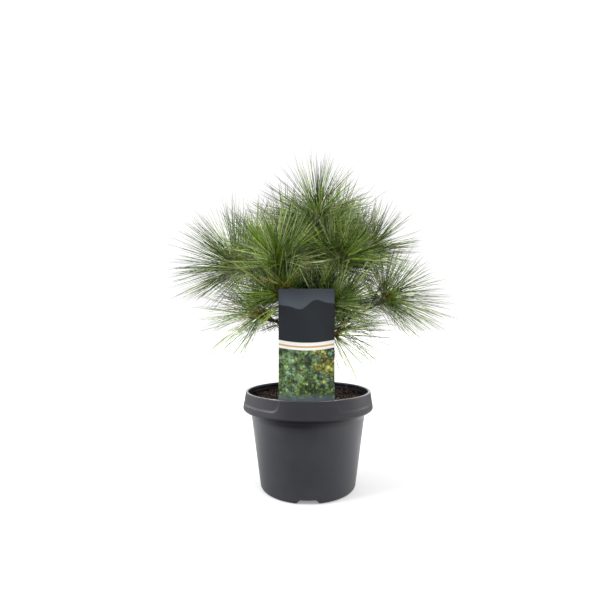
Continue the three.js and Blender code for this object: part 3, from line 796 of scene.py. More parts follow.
sideways = worked_out(tree, "SUBTRACT", across, CARD_MIDDLE)
bow = worked_out(tree, "MULTIPLY", worked_out(tree, "MULTIPLY", sideways, sideways),
                 CARD_BAND_DIP / CARD_HALF_WIDTH ** 2)
over_band = worked_out(tree, "SUBTRACT", upwards, bow)
stripe_foot = CARD_BAND + CARD_BAND_WIDTH / 3
art = lower
for edge, colour in (
    (CARD_BAND, CARD_BAND_WHITE),
    (stripe_foot, CARD_BAND_OCHRE),
    (stripe_foot + CARD_STRIPE_WIDTH, CARD_BAND_WHITE),
    (CARD_BAND + CARD_BAND_WIDTH, upper),
):
    art = blend_colours(tree, above(tree, over_band, edge), art, colour)
facing = add_node(tree, "ShaderNodeSeparateXYZ", Vector=coordinates["Normal"]).outputs["Y"]
front = ramp_mask(tree, worked_out(tree, "MULTIPLY", facing, -1.0), *CARD_FACING)
on_card = worked_out(tree, "MULTIPLY", front,
                     ramp_mask(tree, upwards, CARD_FOOT, CARD_FOOT + CARD_EDGE))
tree.links.new(blend_colours(tree, on_card, CARD_FIELD, art), shader.inputs["Base Color"])
moulded_finish(tree, shader, CARD_GRAIN_SCALE, CARD_SMUDGE_SCALE, CARD_ROUGHNESS,
               strength=0.12, distance=0.00004)
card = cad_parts["label_card"]
card.data.materials.clear()
card.data.materials.append(card_print)


# The trunk: the young pine's one leader stem, grey-brown and thin barked, with a flare at the
# soil, shallow cracks and flakes, and the small pegs that old needle bundles leave on it.
TRUNK_FOOT = np.array((0.0, 0.0, 0.1283))
TRUNK_TIP = np.array((0.005, -0.001, 0.362))
TRUNK_BOW = np.array((-0.007, 0.004, 0.0))
TRUNK_FOOT_RADIUS = 0.0095
TRUNK_FLARE_HEIGHT = 0.022
TRUNK_RADIUS = 0.0066
TRUNK_TIP_RADIUS = 0.0026
TRUNK_SINK = 0.004
TRUNK_RINGS = 300
TRUNK_SIDES = 40
BEND_SHARE = 1 / 3
# wavelength and height of the bark's lumps, and the seed of the first of them
BARK_LUMPS = [(0.011, 0.00032), (0.0042, 0.00020), (0.0016, 0.00010)]
BARK_SEED = 57
BARK_STRETCH = np.array((1.0, 1.0, 0.3))
PEG_HEIGHT = 0.00022
# pegs stand where two sets of spirals cross: how many each set has, and the angle in radians
# that its wave goes through in a metre
PEG_SPIRALS = [(5, 900), (3, -1400)]
NEARLY_ALONG = 0.9
BARK_DARK = (0.030, 0.021, 0.015, 1.0)
BARK_LIGHT = (0.155, 0.118, 0.086, 1.0)
FLAKE_STRETCH = (1.0, 1.0, 0.4)
FLAKE_EDGES = (0.2, 0.66)
CRACK_WIDTH = 0.12
TRUNK_FLAKE_SCALE = 320.0
TRUNK_FLAKE_DEPTH = 0.0005

trunk_corners = [
    TRUNK_FOOT,
    np.array((*TRUNK_FOOT[:2], TRUNK_FOOT[2] + (TRUNK_TIP[2] - TRUNK_FOOT[2]) * BEND_SHARE)),
    TRUNK_FOOT + (TRUNK_TIP - TRUNK_FOOT) * (1 - BEND_SHARE) + TRUNK_BOW,
    TRUNK_TIP,
]


def unit(vectors):
    """Vectors with a length of 1."""
    vectors = np.asarray(vectors, float)
    return vectors / np.linalg.norm(vectors, axis=-1, keepdims=True)


def trunk_radius(along):
    """The trunk's radius by the share of its way up, with the flare at its foot."""
    rise = along * (TRUNK_TIP[2] - TRUNK_FOOT[2])
    flare = (TRUNK_FOOT_RADIUS - TRUNK_RADIUS) * np.maximum(0, 1 - rise / TRUNK_FLARE_HEIGHT) ** 2
    return TRUNK_RADIUS + (TRUNK_TIP_RADIUS - TRUNK_RADIUS) * along + flare


def bark_relief(points, angle, along_way, pegs):
    """How far bark stands out: long lumps and cracks, and the pegs of old needle bundles."""
    relief = lumps(points * BARK_STRETCH, BARK_LUMPS, BARK_SEED)
    lattice = np.prod([np.cos(count * angle + along_way * turn) for count, turn in PEG_SPIRALS],
                      axis=0)
    return relief + pegs * PEG_HEIGHT * np.maximum(lattice, 0) ** 2


def sweep(path, radii, sides, relief_share=1.0, pegs=1.0):
    """A closed limb along a path, with bark relief, as points and faces."""
    count = len(path)
    tangents = unit(np.gradient(path, axis=0))
    across = np.array((1.0, 0.0, 0.0))
    if abs(tangents[0] @ across) > NEARLY_ALONG:
        across = np.array((0.0, 0.0, 1.0))
    angle = 2 * math.pi * np.arange(sides) / sides
    way = np.concatenate(([0.0], np.cumsum(np.linalg.norm(np.diff(path, axis=0), axis=1))))
    points = np.empty((count, sides, 3))
    for i, tangent in enumerate(tangents):
        across = unit(across - (across @ tangent) * tangent)
        beside = np.cross(tangent, across)
        rays = np.outer(np.cos(angle), across) + np.outer(np.sin(angle), beside)
        skin = path[i] + rays * radii[i]
        stands_out = bark_relief(skin, angle, way[i], pegs) * relief_share
        points[i] = skin + rays * stands_out[:, None]
    first = np.arange(sides)
    faces = band_faces(count, sides).tolist()
    faces.append(first[::-1].tolist())
    faces.append(((count - 1) * sides + first).tolist())
    return points.reshape(-1, 3), faces


# bark's cracks and flakes, stretched along the stem: a mask for its colour and a height
young_bark, given, result = new_group("young_bark", ("Scale",), ("Mask", "Height"))
stretched = add_node(young_bark, "ShaderNodeMapping", Vector=piece_place(young_bark),
                     Scale=FLAKE_STRETCH).outputs["Vector"]
flakes = noise(young_bark, stretched, given["Scale"], detail=5.0, roughness=0.65)
cracks = add_node(young_bark, "ShaderNodeTexVoronoi", Vector=stretched, Scale=given["Scale"],
                  feature="DISTANCE_TO_EDGE")
open_cracks = mapped(young_bark, cracks.outputs["Distance"], (0.0, CRACK_WIDTH))
bark_height = worked_out(young_bark, "MULTIPLY", flakes, open_cracks)
young_bark.links.new(mapped(young_bark, bark_height, FLAKE_EDGES), result["Mask"])
young_bark.links.new(bark_height, result["Height"])


def bark_material(name, dark, light, flake_scale, flake_depth):
    """Bark from a dark colour in its cracks to a light one on its flakes."""
    material, tree, shader = new_material(
        name, Base_Color=light, Roughness=0.8, Specular_IOR_Level=0.3
    )
    bark = add_node(tree, "ShaderNodeGroup", node_tree=young_bark, Scale=flake_scale).outputs
    tree.links.new(blend_colours(tree, bark["Mask"], dark, light), shader.inputs["Base Color"])
    raise_grain(tree, shader, bark["Height"], strength=0.7, distance=flake_depth)
    return material


trunk_bark = bark_material(
    "trunk_bark_grey_brown", BARK_DARK, BARK_LIGHT, TRUNK_FLAKE_SCALE, TRUNK_FLAKE_DEPTH
)
trunk_share = np.linspace(0, 1, TRUNK_RINGS)
trunk_path = bezier(trunk_corners, trunk_share)
trunk_path[0, 2] -= TRUNK_SINK
trunk = new_object(
    "trunk_bark",
    *sweep(trunk_path, trunk_radius(trunk_share), TRUNK_SIDES),
    [trunk_bark],
    smooth_angle=50,
)
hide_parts("trunk")
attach(trunk, "root")


# The boughs: one tapering limb each, in three whorls round the trunk, with thin brown bark and
# a swollen collar where each leaves the trunk.
CLEARANCE = 0.0003
STEM_LENGTH = 0.042
HEIGHT_HALVINGS = 30
BOUGH_ROOT_RADIUS = 0.0025
BOUGH_TIP_RADIUS = 0.0019
BOUGH_RISE = 24
BOUGH_RINGS = 60
BOUGH_SIDES = 14
BOUGH_COLLAR = 0.6
BOUGH_COLLAR_SHARE = 0.16
BOUGH_RELIEF = 0.55
TWIG_BARK_DARK = (0.034, 0.022, 0.012, 1.0)
TWIG_BARK_LIGHT = (0.200, 0.150, 0.082, 1.0)
TWIG_FLAKE_SCALE = 650.0
TWIG_FLAKE_DEPTH = 0.0003
# each whorl's name, lowest height, step up and how far its needles sag, and for each bough its
# azimuth, how far out its bud lies, the bud's height, its shoot's rise, its needles' length and
# how full they stand
WHORLS = [
    ("low", 0.194, 0.007, 0.26, [
        (298, 0.079, 0.222, 0, 0.082, 0.40),
        (214, 0.090, 0.246, 8, 0.091, 0.24),
        (350, 0.121, 0.275, 26, 0.090, 0.66),
        (140, 0.112, 0.258, 20, 0.084, 0.30),
        (65, 0.116, 0.264, 24, 0.086, 0.45),
    ]),
    ("middle", 0.236, 0.007, 0.08, [
        (304, 0.070, 0.266, 42, 0.074, 0.8),
        (238, 0.082, 0.280, 40, 0.078, 0.85),
        (180, 0.112, 0.322, 18, 0.100, 0.82),
        (102, 0.117, 0.316, 26, 0.090, 0.75),
        (20, 0.108, 0.354, 32, 0.080, 0.7),
        (278, 0.058, 0.275, 62, 0.072, 0.9),
    ]),
    ("high", 0.284, 0.007, 0.07, [
        (233, 0.074, 0.328, 62, 0.082, 0.95),
        (321, 0.064, 0.330, 52, 0.078, 0.95),
        (157, 0.094, 0.360, 42, 0.073, 0.5),
        (50, 0.100, 0.374, 46, 0.081, 0.5),
        (98, 0.092, 0.360, 46, 0.088, 0.6),
    ]),
]


def trunk_at(height):
    """The point of the trunk's middle line at a height."""
    low, high = 0.0, 1.0
    for _ in range(HEIGHT_HALVINGS):
        middle = (low + high) / 2
        if bezier(trunk_corners, [middle])[0, 2] < height:
            low = middle
        else:
            high = middle
    return bezier(trunk_corners, [low])[0]


def heading(azimuth, rise):
    """A direction from an azimuth and a rise above the level, in degrees."""
    flat = math.cos(math.radians(rise))
    return np.array((
        flat * math.cos(math.radians(azimuth)),
        flat * math.sin(math.radians(azimuth)),
        math.sin(math.radians(rise)),
    ))


def plan_mass(whorl, foot, bud, needle_length, fullness, sag, opening=1.0, corners=None):
    """A mass of needles: its stem's foot and bud, how its needles stand, and its bough's curve."""
    return {"whorl": whorl, "foot": foot, "bud": bud, "needle_length": needle_length,
            "fullness": fullness, "sag": sag, "opening": opening, "corners": corners}


def plan_bough(whorl, level, sag, azimuth, reach, height, rise, needle_length, fullness):
    """The mass on a bough, with the bough's curve from the trunk to the foot of its shoot."""
    foot = trunk_at(level)
    bud = heading(azimuth, 0) * reach + np.array((0, 0, height))
    along = heading(azimuth, rise)
    stem_foot = bud - along * STEM_LENGTH
    tip = stem_foot - along * CLEARANCE
    pull = np.linalg.norm(foot - tip) * BEND_SHARE
    corners = [foot, foot + heading(azimuth, BOUGH_RISE) * pull, tip - along * pull, tip]
    return plan_mass(whorl, stem_foot, bud, needle_length, fullness, sag, corners=corners)


masses = [
    plan_bough(whorl, level + index * step, sag, *row)
    for whorl, level, step, sag, rows in WHORLS
    for index, row in enumerate(rows)
]

bough_share = np.linspace(0, 1, BOUGH_RINGS)
swelling = 1 + BOUGH_COLLAR * smooth_step(1 - bough_share / BOUGH_COLLAR_SHARE)
bough_radii = (
    BOUGH_ROOT_RADIUS + (BOUGH_TIP_RADIUS - BOUGH_ROOT_RADIUS) * bough_share
) * swelling
bough_limbs = []
for mass in masses:
    path = bezier(mass["corners"], bough_share)
    bough_limbs.append(sweep(path, bough_radii, BOUGH_SIDES, BOUGH_RELIEF))
twig_bark = bark_material(
    "twig_bark_brown", TWIG_BARK_DARK, TWIG_BARK_LIGHT, TWIG_FLAKE_SCALE, TWIG_FLAKE_DEPTH
)
boughs = new_object("bough_bark", *joined(bough_limbs), [twig_bark], smooth_angle=60)
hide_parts(*[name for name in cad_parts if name.startswith("bough_")])
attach(boughs, "root")


# The shoots: this year's and last year's growth, which carries the boughs and the trunk on. Each
# stem bears twigs to both sides by the same seeded rule as the solids, and finer twigs on them.
LEADER_LENGTH = 0.040
LEADER_NEEDLE_LENGTH = 0.100
LEADER_FULLNESS = 0.95
LEADER_OPENING = 1.17
UPPER_SAG = 0.05
SEED = 20260
SEED_STEP = 97
SEQUENCE_FACTOR = 1664525
SEQUENCE_STEP = 1013904223
SEQUENCE_SIZE = 2 ** 32
TWIG_SPOTS = (0.34, 0.5)
TWIG_LENGTH = 0.030
TWIG_LENGTH_RANGE = (0.85, 1.15)
TWIG_ANGLE = 48
TWIG_ANGLE_JITTER = 16
TWIG_ROLL_JITTER = 50
TWIG_LIFT = 0.15
TWIG_ROLL_SHARE = 0.8
STEEPEST = 0.95
FINE_SPOTS = (0.18, 0.42, 0.66)
FINE_SPOT_ON_TWIG = 0.45
FINE_TURN = 35
FINE_TURN_JITTER = 36
FINE_LENGTH = (0.017, 0.024)
FINE_ANGLE = (36, 52)
SHOOT_RADII = {"stem": 0.0020, "twig": 0.0015, "fine": 0.0012, "bough": BOUGH_TIP_RADIUS}
BUD_RADIUS_SHARE = 0.85
SHOOT_RINGS = 34
SHOOT_SIDES = 9
SHOOT_RELIEF = 0.5
SHOOT_PEGS = 2.0
SHOOT_BARK_DARK = (0.060, 0.040, 0.016, 1.0)
SHOOT_BARK_LIGHT = (0.220, 0.170, 0.070, 1.0)
SHOOT_FLAKE_SCALE = 900.0
SHOOT_FLAKE_DEPTH = 0.0002
# each upper shoot's azimuth, how far out its bud lies, the bud's height, the height at which it
# leaves the trunk, its needles' length and how full they stand
UPPER_SHOOTS = [
    (318, 0.034, 0.358, 0.322, 0.076, 0.8),
    (140, 0.052, 0.392, 0.336, 0.074, 0.4),
    (15, 0.054, 0.390, 0.348, 0.076, 0.45),
]


def sequence(seed):
    """The solids' small seeded sequence of numbers from 0 to 1."""
    state = seed

    def following():
        """The next number of the sequence."""
        nonlocal state
        state = (SEQUENCE_FACTOR * state + SEQUENCE_STEP) % SEQUENCE_SIZE
        return state / SEQUENCE_SIZE

    return following


def shoot_between(start, end, kind):
    """A shoot with the two directions across it that its sides are counted from."""
    along = unit(end - start)
    level = (1.0, 0.0, 0.0) if abs(along[2]) > STEEPEST else (0.0, 0.0, 1.0)
    aside = unit(np.cross(along, level))
    return {"start": start, "end": end, "along": along, "aside": aside,
            "over": np.cross(aside, along), "kind": kind, "radius": SHOOT_RADII[kind]}


def grow_shoots(mass, index):
    """A mass's stem and the two twigs that its solid also has."""
    following = sequence(SEED + index * SEED_STEP)

    def jitter(reach):
        """A number up to half the reach to either side of 0."""
        return (following() - 0.5) * reach

    stem = shoot_between(mass["foot"], mass["bud"], "stem")
    shoots = [stem]
    for side, spot in enumerate(TWIG_SPOTS):
        lean = math.radians(TWIG_ANGLE + jitter(TWIG_ANGLE_JITTER))
        roll = math.radians(180 * side + jitter(TWIG_ROLL_JITTER))
        least, most = TWIG_LENGTH_RANGE
        reach = TWIG_LENGTH * (least + (most - least) * following())
        lift = abs(math.sin(roll)) * TWIG_ROLL_SHARE + TWIG_LIFT
        sideways = unit(stem["aside"] * math.cos(roll) + stem["over"] * lift)
        direction = stem["along"] * math.cos(lean) + sideways * math.sin(lean)
        start = mass["foot"] + (mass["bud"] - mass["foot"]) * spot
        shoots.append(shoot_between(start, start + direction * reach, "twig"))
    return shoots


def grow_fine_twigs(shoots, random):
    """Finer twigs between the others: three on the stem and one on each twig."""
    grown = []
    stem = shoots[0]
    for number, spot in enumerate(FINE_SPOTS):
        turn = 180 * number + FINE_TURN_JITTER * random.uniform(-1, 1) + FINE_TURN
        grown.append((stem, spot, turn))
    for twig in shoots[1:]:
        grown.append((twig, FINE_SPOT_ON_TWIG, random.uniform(0, 360)))
    for parent, spot, turn in grown:
        lean = math.radians(random.uniform(*FINE_ANGLE))
        turn = math.radians(turn)
        sideways = parent["aside"] * math.cos(turn) + parent["over"] * abs(math.sin(turn))
        direction = parent["along"] * math.cos(lean) + unit(sideways) * math.sin(lean)
        start = parent["start"] + (parent["end"] - parent["start"]) * spot
        end = start + direction * random.uniform(*FINE_LENGTH)
        shoots.append(shoot_between(start, end, "fine"))


for azimuth, reach, height, foot_height, needle_length, fullness in UPPER_SHOOTS:
    bud = heading(azimuth, 0) * reach + np.array((0, 0, height))
    masses.append(plan_mass("upper", trunk_at(foot_height), bud, needle_length, fullness,
                            UPPER_SAG))
leader_way = unit(TRUNK_TIP - trunk_corners[2])
leader_foot = TRUNK_TIP + leader_way * CLEARANCE
masses.append(plan_mass("upper", leader_foot, leader_foot + leader_way * LEADER_LENGTH,
                        LEADER_NEEDLE_LENGTH, LEADER_FULLNESS, UPPER_SAG, LEADER_OPENING))

random = np.random.default_rng(SEED)
shoot_share = np.linspace(0, 1, SHOOT_RINGS)
shoot_taper = 1 - (1 - BUD_RADIUS_SHARE) * shoot_share
shoot_limbs = []
for index, mass in enumerate(masses):
    mass["shoots"] = grow_shoots(mass, index)
    grow_fine_twigs(mass["shoots"], random)
    for shoot in mass["shoots"]:
        back = shoot["along"] * CLEARANCE * 2
        whole_way = shoot["end"] - shoot["start"] + back
        path = shoot["start"] - back + whole_way * shoot_share[:, None]
        shoot_limbs.append(
            sweep(path, shoot["radius"] * shoot_taper, SHOOT_SIDES, SHOOT_RELIEF, SHOOT_PEGS)
        )
shoot_bark = bark_material(
    "shoot_bark_tan", SHOOT_BARK_DARK, SHOOT_BARK_LIGHT, SHOOT_FLAKE_SCALE, SHOOT_FLAKE_DEPTH
)
shoots_piece = new_object("shoot_twigs", *joined(shoot_limbs), [shoot_bark], smooth_angle=70)
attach(shoots_piece, "root")


# The winter buds: a pointed bud closes each shoot, wrapped in a spiral of thin orange-brown
# scales that overlap like tiles, with smaller side buds round the largest ones.
BUD_LENGTH = {"stem": 0.0085, "twig": 0.0070, "fine": 0.0056}
BUD_RADIUS = {"stem": 0.0019, "twig": 0.0016, "fine": 0.0013}
BUD_SINK = 0.0006
SIDE_BUDS = 3
SIDE_BUD_SINK = 0.001
SIDE_BUD_SHARE = 0.6
SIDE_BUD_LEAN = 42
GOLDEN_TURN = math.radians(137.5)
# a bud's outline is part of a sine's half turn: where it starts, how much of it the bud takes,
# where it stops at the latest, and the power that fills it out
BUD_FOOT_SWELL = 0.16
BUD_SWELL_SPAN = 0.80
BUD_SWELL_END = 0.985
BUD_SWELL_POWER = 0.8
# its scales, by shares of its length and then by shares of its radius
BUD_SCALES = 26
SCALES_END = 0.78
SCALE_REACH = 0.42
SCALE_SHORTENING = 0.45
SCALE_SEAT = 0.82
SCALE_TIP = 1.12
SCALE_HALF_WIDTH = 0.62
SCALE_SHOULDER = 0.7
SCALE_BELLY = 0.16
SCALE_THICKNESS = 0.25
SCALE_FACES = [(0, 1, 2, 4), (4, 2, 3), (1, 0, 5), (0, 4, 5), (4, 3, 5), (3, 2, 5), (2, 1, 5)]
SCALES_TO_A_BROWN_ONE = 3
BUD_CORE = [(0, 0), (0.9, 0.05), (1.0, 0.75), (0, 1)]
BUD_CORE_RADIUS = 1.04
BUD_CORE_STEPS = 8
BUD_CORE_SIDES = 8
BUD_COLOURS = {
    "bud_scale_orange": (0.300, 0.230, 0.060, 1.0),
    "bud_scale_brown": (0.150, 0.105, 0.034, 1.0),
}
RESIN_SCALE = 1800.0


def leaning(shoot, lean, turn):
    """Directions that lean away from a shoot, turned round it from its side, in radians."""
    lean, turn = np.asarray(lean)[..., None], np.asarray(turn)[..., None]
    beside = shoot["aside"] * np.cos(turn) + shoot["over"] * np.sin(turn)
    return shoot["along"] * np.cos(lean) + beside * np.sin(lean)


def bud_swell(place):
    """A bud's radius at a place along it, as a share of its largest."""
    turn = min(BUD_FOOT_SWELL + BUD_SWELL_SPAN * place, BUD_SWELL_END)
    return math.sin(math.pi * turn) ** BUD_SWELL_POWER


def bud_at(foot, shoot, length, radius):
    """A bud's core and its scales: points, faces and each face's colour."""
    along = shoot["along"]
    points, faces, colours = [], [], []
    for number in range(BUD_SCALES):
        place = number / BUD_SCALES
        out = leaning(shoot, math.pi / 2, GOLDEN_TURN * number)
        beside = np.cross(along, out)
        root_place = place * SCALES_END
        tip_place = root_place + SCALE_REACH * (1 - SCALE_SHORTENING * place)
        swell = bud_swell(place)
        root = foot + along * length * root_place + out * radius * swell * SCALE_SEAT
        tip = foot + along * length * tip_place + out * radius * bud_swell(tip_place) * SCALE_TIP
        width = beside * radius * swell * SCALE_HALF_WIDTH
        belly = (root + tip) / 2 + out * radius * SCALE_BELLY
        start = len(points)
        points += [root - width, root + width, belly + width * SCALE_SHOULDER, tip,
                   belly - width * SCALE_SHOULDER, belly - out * radius * SCALE_THICKNESS]
        faces += [[start + corner for corner in face] for face in SCALE_FACES]
        colours += [0 if number % SCALES_TO_A_BROWN_ONE else 1] * len(SCALE_FACES)
    core = bezier(BUD_CORE, np.linspace(0, 1, BUD_CORE_STEPS))
    core = core * (radius * BUD_CORE_RADIUS, length)
    start = len(points)
    sides = BUD_CORE_SIDES
    ring_turn = 2 * math.pi * np.arange(sides) / sides
    for ring_radius, rise in core[1:-1]:
        ring = leaning(shoot, math.pi / 2, ring_turn) * ring_radius
        points += list(foot + along * rise + ring)
    points += [foot, foot + along * length]
    rings = len(core) - 2
    faces += (start + band_faces(rings, sides)).tolist()
    tail = start + rings * sides
    for i in range(sides):
        after = (i + 1) % sides
        faces.append((tail, start + after, start + i))
        faces.append((tail + 1, tail - sides + i, tail - sides + after))
    colours += [1] * (len(faces) - len(colours))
    return np.array(points), faces, colours


bud_parts, bud_colours = [], []
for mass in masses:
    for shoot in mass["shoots"]:
        kind = shoot["kind"]
        buds = [(shoot["end"] - shoot["along"] * BUD_SINK, shoot, 1.0)]
        if kind == "stem":
            side_foot = shoot["end"] - shoot["along"] * SIDE_BUD_SINK
            for number in range(SIDE_BUDS):
                turn = 2 * math.pi * number / SIDE_BUDS
                way = leaning(shoot, math.radians(SIDE_BUD_LEAN), turn)
                side_shoot = shoot_between(shoot["end"], shoot["end"] + way, "twig")
                buds.append((side_foot, side_shoot, SIDE_BUD_SHARE))
        for foot, direction, share in buds:
            points, faces, colours = bud_at(
                foot, direction, BUD_LENGTH[kind] * share, BUD_RADIUS[kind] * share
            )
            bud_parts.append((points, faces))
            bud_colours += colours
bud_materials = rough_materials(
    BUD_COLOURS, roughness=0.55, specular=0.4, grain_scale=RESIN_SCALE, strength=0.5,
    distance=0.0001,
)
buds_piece = new_object("winter_buds", *joined(bud_parts), bud_materials, bud_colours)
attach(buds_piece, "root")


# The needles: soft, thin and three-sided, in bundles of five that share one short sheath. They
# stand in a golden spiral round each shoot, wide at its foot and forward round its bud. Each
# bundle has one plain colour, with paler inner sides, a yellow-green foot and often a dull tip.
BUNDLES = {"stem": 48, "twig": 14, "fine": 8, "bough": 3}
BOUGH_NEEDLES_FROM = 0.55
NEEDLE_SHARES = {"stem": 1.0, "twig": 0.9, "fine": 0.86, "bough": 0.72}
NEEDLES_IN_BUNDLE = 5
NEEDLE_SIDES = 3
NEEDLE_RINGS = (0.0, 0.2, 0.5, 0.8)
NEEDLE_RADII = (0.00031, 0.00040, 0.00038, 0.00028)
NEEDLE_LENGTHS = (0.86, 1.13)
# how far bundles lean from their shoot, in degrees, at places from its foot to its bud
LEAN_PLACES = (0.0, 0.3, 0.75, 1.0)
LEANS = {"stem": (86, 74, 54, 18), "twig": (84, 70, 46, 12), "fine": (80, 62, 36, 8),
         "bough": (84, 74, 60, 50)}
LEAN_JITTER = 13
TURN_JITTER = 20
BUNDLE_SPREAD = (2, 12)
SWEPT_FORWARD = 0.7
# the shares of a shoot between which bundles sit, crowded towards its bud, and how deep
SEATS = {"stem": (0.35, 1.0), "twig": (0.35, 1.0), "fine": (0.35, 1.0), "bough": (0.5, 0.98)}
SEAT_CROWDING = 0.55
SEAT_DEPTH = 0.8
NEEDLE_BEND_SHARE = 0.35
NEEDLE_CURL = 0.025
HANGING_SHORTER = 0.2
CARD_ROOM = 0.004
CARD_SAMPLES = 9
SHORTEST_SHARE = 0.4
LOWEST_TIP = 0.150
SHEATH_LENGTH = 0.0045
SHEATH_RADII = (0.0009, 0.0007)
SHEATH_SIDES = 4
SHEATH_ASKEW = (0.31, 0.52, 0.80)
# colour of the outer side and of the two paler inner sides, for each tone
TONES = {
    "deep": ((0.008, 0.020, 0.002, 1.0), (0.022, 0.042, 0.007, 1.0)),
    "middle": ((0.052, 0.104, 0.007, 1.0), (0.108, 0.176, 0.026, 1.0)),
    "fresh": ((0.180, 0.305, 0.018, 1.0), (0.310, 0.430, 0.072, 1.0)),
    "pale": ((0.185, 0.262, 0.068, 1.0), (0.440, 0.520, 0.235, 1.0)),
}
NEEDLE_FOOT = (0.190, 0.285, 0.020, 1.0)
NEEDLE_TIP = (0.160, 0.150, 0.100, 1.0)
NEEDLE_OLD = (0.300, 0.190, 0.055, 1.0)
NEEDLE_SHEATH = (0.250, 0.150, 0.045, 1.0)
TONE_SHARES = {
    "stem": (0.26, 0.32, 0.24, 0.18),
    "twig": (0.30, 0.32, 0.22, 0.16),
    "fine": (0.38, 0.32, 0.14, 0.16),
    "bough": (0.62, 0.28, 0.02, 0.08),
}
OLD_SHARE = 0.012
DULL_TIP_SHARE = 0.6
NEEDLE_ROUGHNESS = (0.30, 0.52)
WAX_SCALE = 700.0


def needle_materials():
    """Two materials for each tone, then those of the foot, the tip and an old needle."""
    colours = []
    for tone, (outer, inner) in TONES.items():
        colours += [(f"needle_{tone}_outer", outer), (f"needle_{tone}_inner", inner)]
    colours += [("needle_foot", NEEDLE_FOOT), ("needle_tip", NEEDLE_TIP),
                ("needle_old", NEEDLE_OLD), ("needle_sheath", NEEDLE_SHEATH)]
    made = []
    for name, colour in colours:
        material, tree, shader = new_material(name, Base_Color=colour, Specular_IOR_Level=0.35)
        wax = add_node(tree, "ShaderNodeGroup", node_tree=fine_grain, Scale=WAX_SCALE, Detail=2.0)
        sheen = mapped(tree, wax.outputs["Mask"], after=NEEDLE_ROUGHNESS)
        tree.links.new(sheen, shader.inputs["Roughness"])
        made.append(material)
    return made


def bundles_on(shoot, mass, random):
    """One shoot's needles, each with its root, way, bend, length and tone, and their sheaths."""
    kind = shoot["kind"]
    count = math.ceil(BUNDLES[kind] * mass["fullness"])
    place = (np.arange(count) + 0.5) / count
    turn = GOLDEN_TURN * np.arange(count) + np.radians(random.uniform(-1, 1, count) * TURN_JITTER)
    lean = np.interp(place, LEAN_PLACES, LEANS[kind]) * mass["opening"]
    lean = lean + random.uniform(-1, 1, count) * LEAN_JITTER
    first, last = SEATS[kind]
    seat = first + (last - first) * place ** SEAT_CROWDING
    out = leaning(shoot, np.full(count, math.pi / 2), turn)
    root = shoot["start"] + np.outer(seat, shoot["end"] - shoot["start"])
    root = root + out * shoot["radius"] * SEAT_DEPTH
    way = leaning(shoot, np.radians(lean), turn)
    way = unit(way + SWEPT_FORWARD * np.maximum(0, -way[:, 2:]) * shoot["along"])
    tone = random.choice(len(TONES), count, p=TONE_SHARES[kind])
    sheaths = (root, way)

    many = NEEDLES_IN_BUNDLE
    root, way, tone = (np.repeat(values, many, axis=0) for values in (root, way, tone))
    across = unit(np.cross(way, random.normal(size=(count, 3)).repeat(many, axis=0)))
    beside = np.cross(way, across)
    spread = np.tan(np.radians(random.uniform(*BUNDLE_SPREAD, count * many)))[:, None]
    fan = np.tile(2 * math.pi * np.arange(many) / many, count)[:, None]
    way = unit(way + spread * (across * np.cos(fan) + beside * np.sin(fan)))
    sagging = mass["sag"] * np.hypot(way[:, 0], way[:, 1])
    way[:, 2] -= sagging * (1 - NEEDLE_BEND_SHARE)
    bend = random.normal(0, NEEDLE_CURL, way.shape)
    bend[:, 2] -= sagging * NEEDLE_BEND_SHARE
    whole = mass["needle_length"] * NEEDLE_SHARES[kind]
    length = whole * random.uniform(*NEEDLE_LENGTHS, count * many)
    length *= 1 - HANGING_SHORTER * np.maximum(0, -way[:, 2])
    length *= 1 - (mass["opening"] - 1) * np.repeat(place, many)
    return (root, way, bend, length, tone), sheaths


def sheath_mesh(root, way):
    """A short four-sided sleeve round the foot of each bundle, as points and faces."""
    side = unit(np.cross(way, SHEATH_ASKEW))
    other = np.cross(way, side)
    points = np.stack([
        root + way * reach + out * radius
        for reach, radius in zip((0.0, SHEATH_LENGTH), SHEATH_RADII)
        for out in (side, other, -side, -other)
    ], axis=1)
    end = SHEATH_SIDES + np.arange(SHEATH_SIDES)
    sleeve = np.vstack((band_faces(2, SHEATH_SIDES), end))
    return points.reshape(-1, 3), copied_faces(sleeve, 2 * SHEATH_SIDES, len(root))


def fit_to_card(root, way, bend, length):
    """The share of each needle that stays out of the card's room, and which ones are kept."""
    share = np.ones(len(length))
    for sample in np.linspace(1, 0, CARD_SAMPLES)[:-1]:
        reach = (sample * length)[:, None]
        spot = root + way * reach + bend * reach * sample
        beside = np.abs(spot[:, 0] - CARD_MIDDLE) > CARD_HALF_WIDTH + CARD_ROOM
        behind = spot[:, 1] > card_high.y + CARD_ROOM
        over = spot[:, 2] > CARD_TOP + CARD_ROOM
        held = np.minimum(share, sample - 1 / CARD_SAMPLES)
        share = np.where(beside | behind | over, share, held)
    tip = root[:, 2] + (way[:, 2] + bend[:, 2] * share) * length * share
    return share, (share > SHORTEST_SHARE) & (tip > LOWEST_TIP)


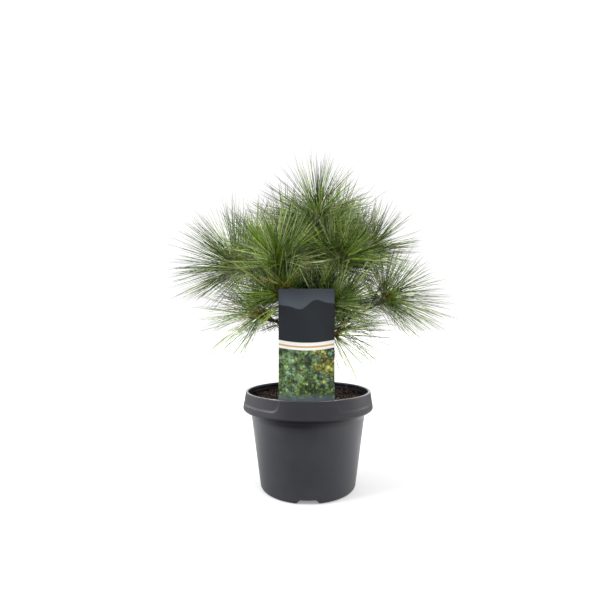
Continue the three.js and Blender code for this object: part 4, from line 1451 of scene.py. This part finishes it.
def needle_mesh(root, way, bend, length, tone, random):
    """All needles of a piece as points, faces and each face's material."""
    count = len(root)
    sides = NEEDLE_SIDES
    rings = len(NEEDLE_RINGS)
    tip = rings * sides
    side = unit(np.cross(way, random.normal(size=way.shape)))
    other = np.cross(way, side)
    points = np.empty((count, tip + 1, 3))
    for ring, (share, radius) in enumerate(zip(NEEDLE_RINGS, NEEDLE_RADII)):
        reach = (share * length)[:, None]
        centre = root + way * reach + bend * reach * share
        for corner in range(sides):
            turn = 2 * math.pi * corner / sides
            points[:, sides * ring + corner] = centre + radius * (
                side * math.cos(turn) + other * math.sin(turn)
            )
    points[:, tip] = root + (way + bend) * length[:, None]
    last_ring = tip - sides
    ends = [(last_ring + corner, last_ring + (corner + 1) % sides, tip)
            for corner in range(sides)]
    faces = copied_faces(band_faces(rings, sides), tip + 1, count).tolist()
    faces += copied_faces(ends, tip + 1, count).tolist()

    foot_look = 2 * len(TONES)
    looks = 2 * tone[:, None] + np.tile(np.arange(sides) > 0, rings - 1)
    looks[:, :sides] = foot_look
    tip_looks = np.repeat((2 * tone)[:, None], sides, axis=1)
    dull_tip = random.uniform(size=count) < DULL_TIP_SHARE
    tip_looks[dull_tip] = foot_look + 1
    old = random.uniform(size=count) < OLD_SHARE
    looks[old] = foot_look + 2
    tip_looks[old] = foot_look + 2
    return points.reshape(-1, 3), faces, np.concatenate((looks.reshape(-1), tip_looks.reshape(-1)))


greens = needle_materials()
random = np.random.default_rng(SEED + 1)
for whorl in ("low", "middle", "high", "upper"):
    grown = []
    for mass in masses:
        if mass["whorl"] != whorl:
            continue
        carriers = list(mass["shoots"])
        if mass["corners"] is not None:
            needles_from = bezier(mass["corners"], [BOUGH_NEEDLES_FROM])[0]
            carriers.append(shoot_between(needles_from, mass["foot"], "bough"))
        for carrier in carriers:
            grown.append(bundles_on(carrier, mass, random))
    bundles, sheaths = zip(*grown)
    root, way, bend, length, tone = (np.concatenate(values) for values in zip(*bundles))
    share, kept = fit_to_card(root, way, bend, length)
    length = length * share
    points, faces, looks = needle_mesh(
        root[kept], way[kept], bend[kept], length[kept], tone[kept], random
    )
    sheath_points, sheath_faces = sheath_mesh(*(np.concatenate(part) for part in zip(*sheaths)))
    needles = new_object(
        f"{whorl}_needles",
        np.vstack((points, sheath_points)),
        faces + (sheath_faces + len(points)).tolist(),
        greens,
        np.concatenate((looks, np.full(len(sheath_faces), len(greens) - 1))),
    )
    prefixes = ("needles_upper", "needles_leader") if whorl == "upper" else f"needles_{whorl}"
    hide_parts(*[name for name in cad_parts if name.startswith(prefixes)])
    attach(needles, "root")
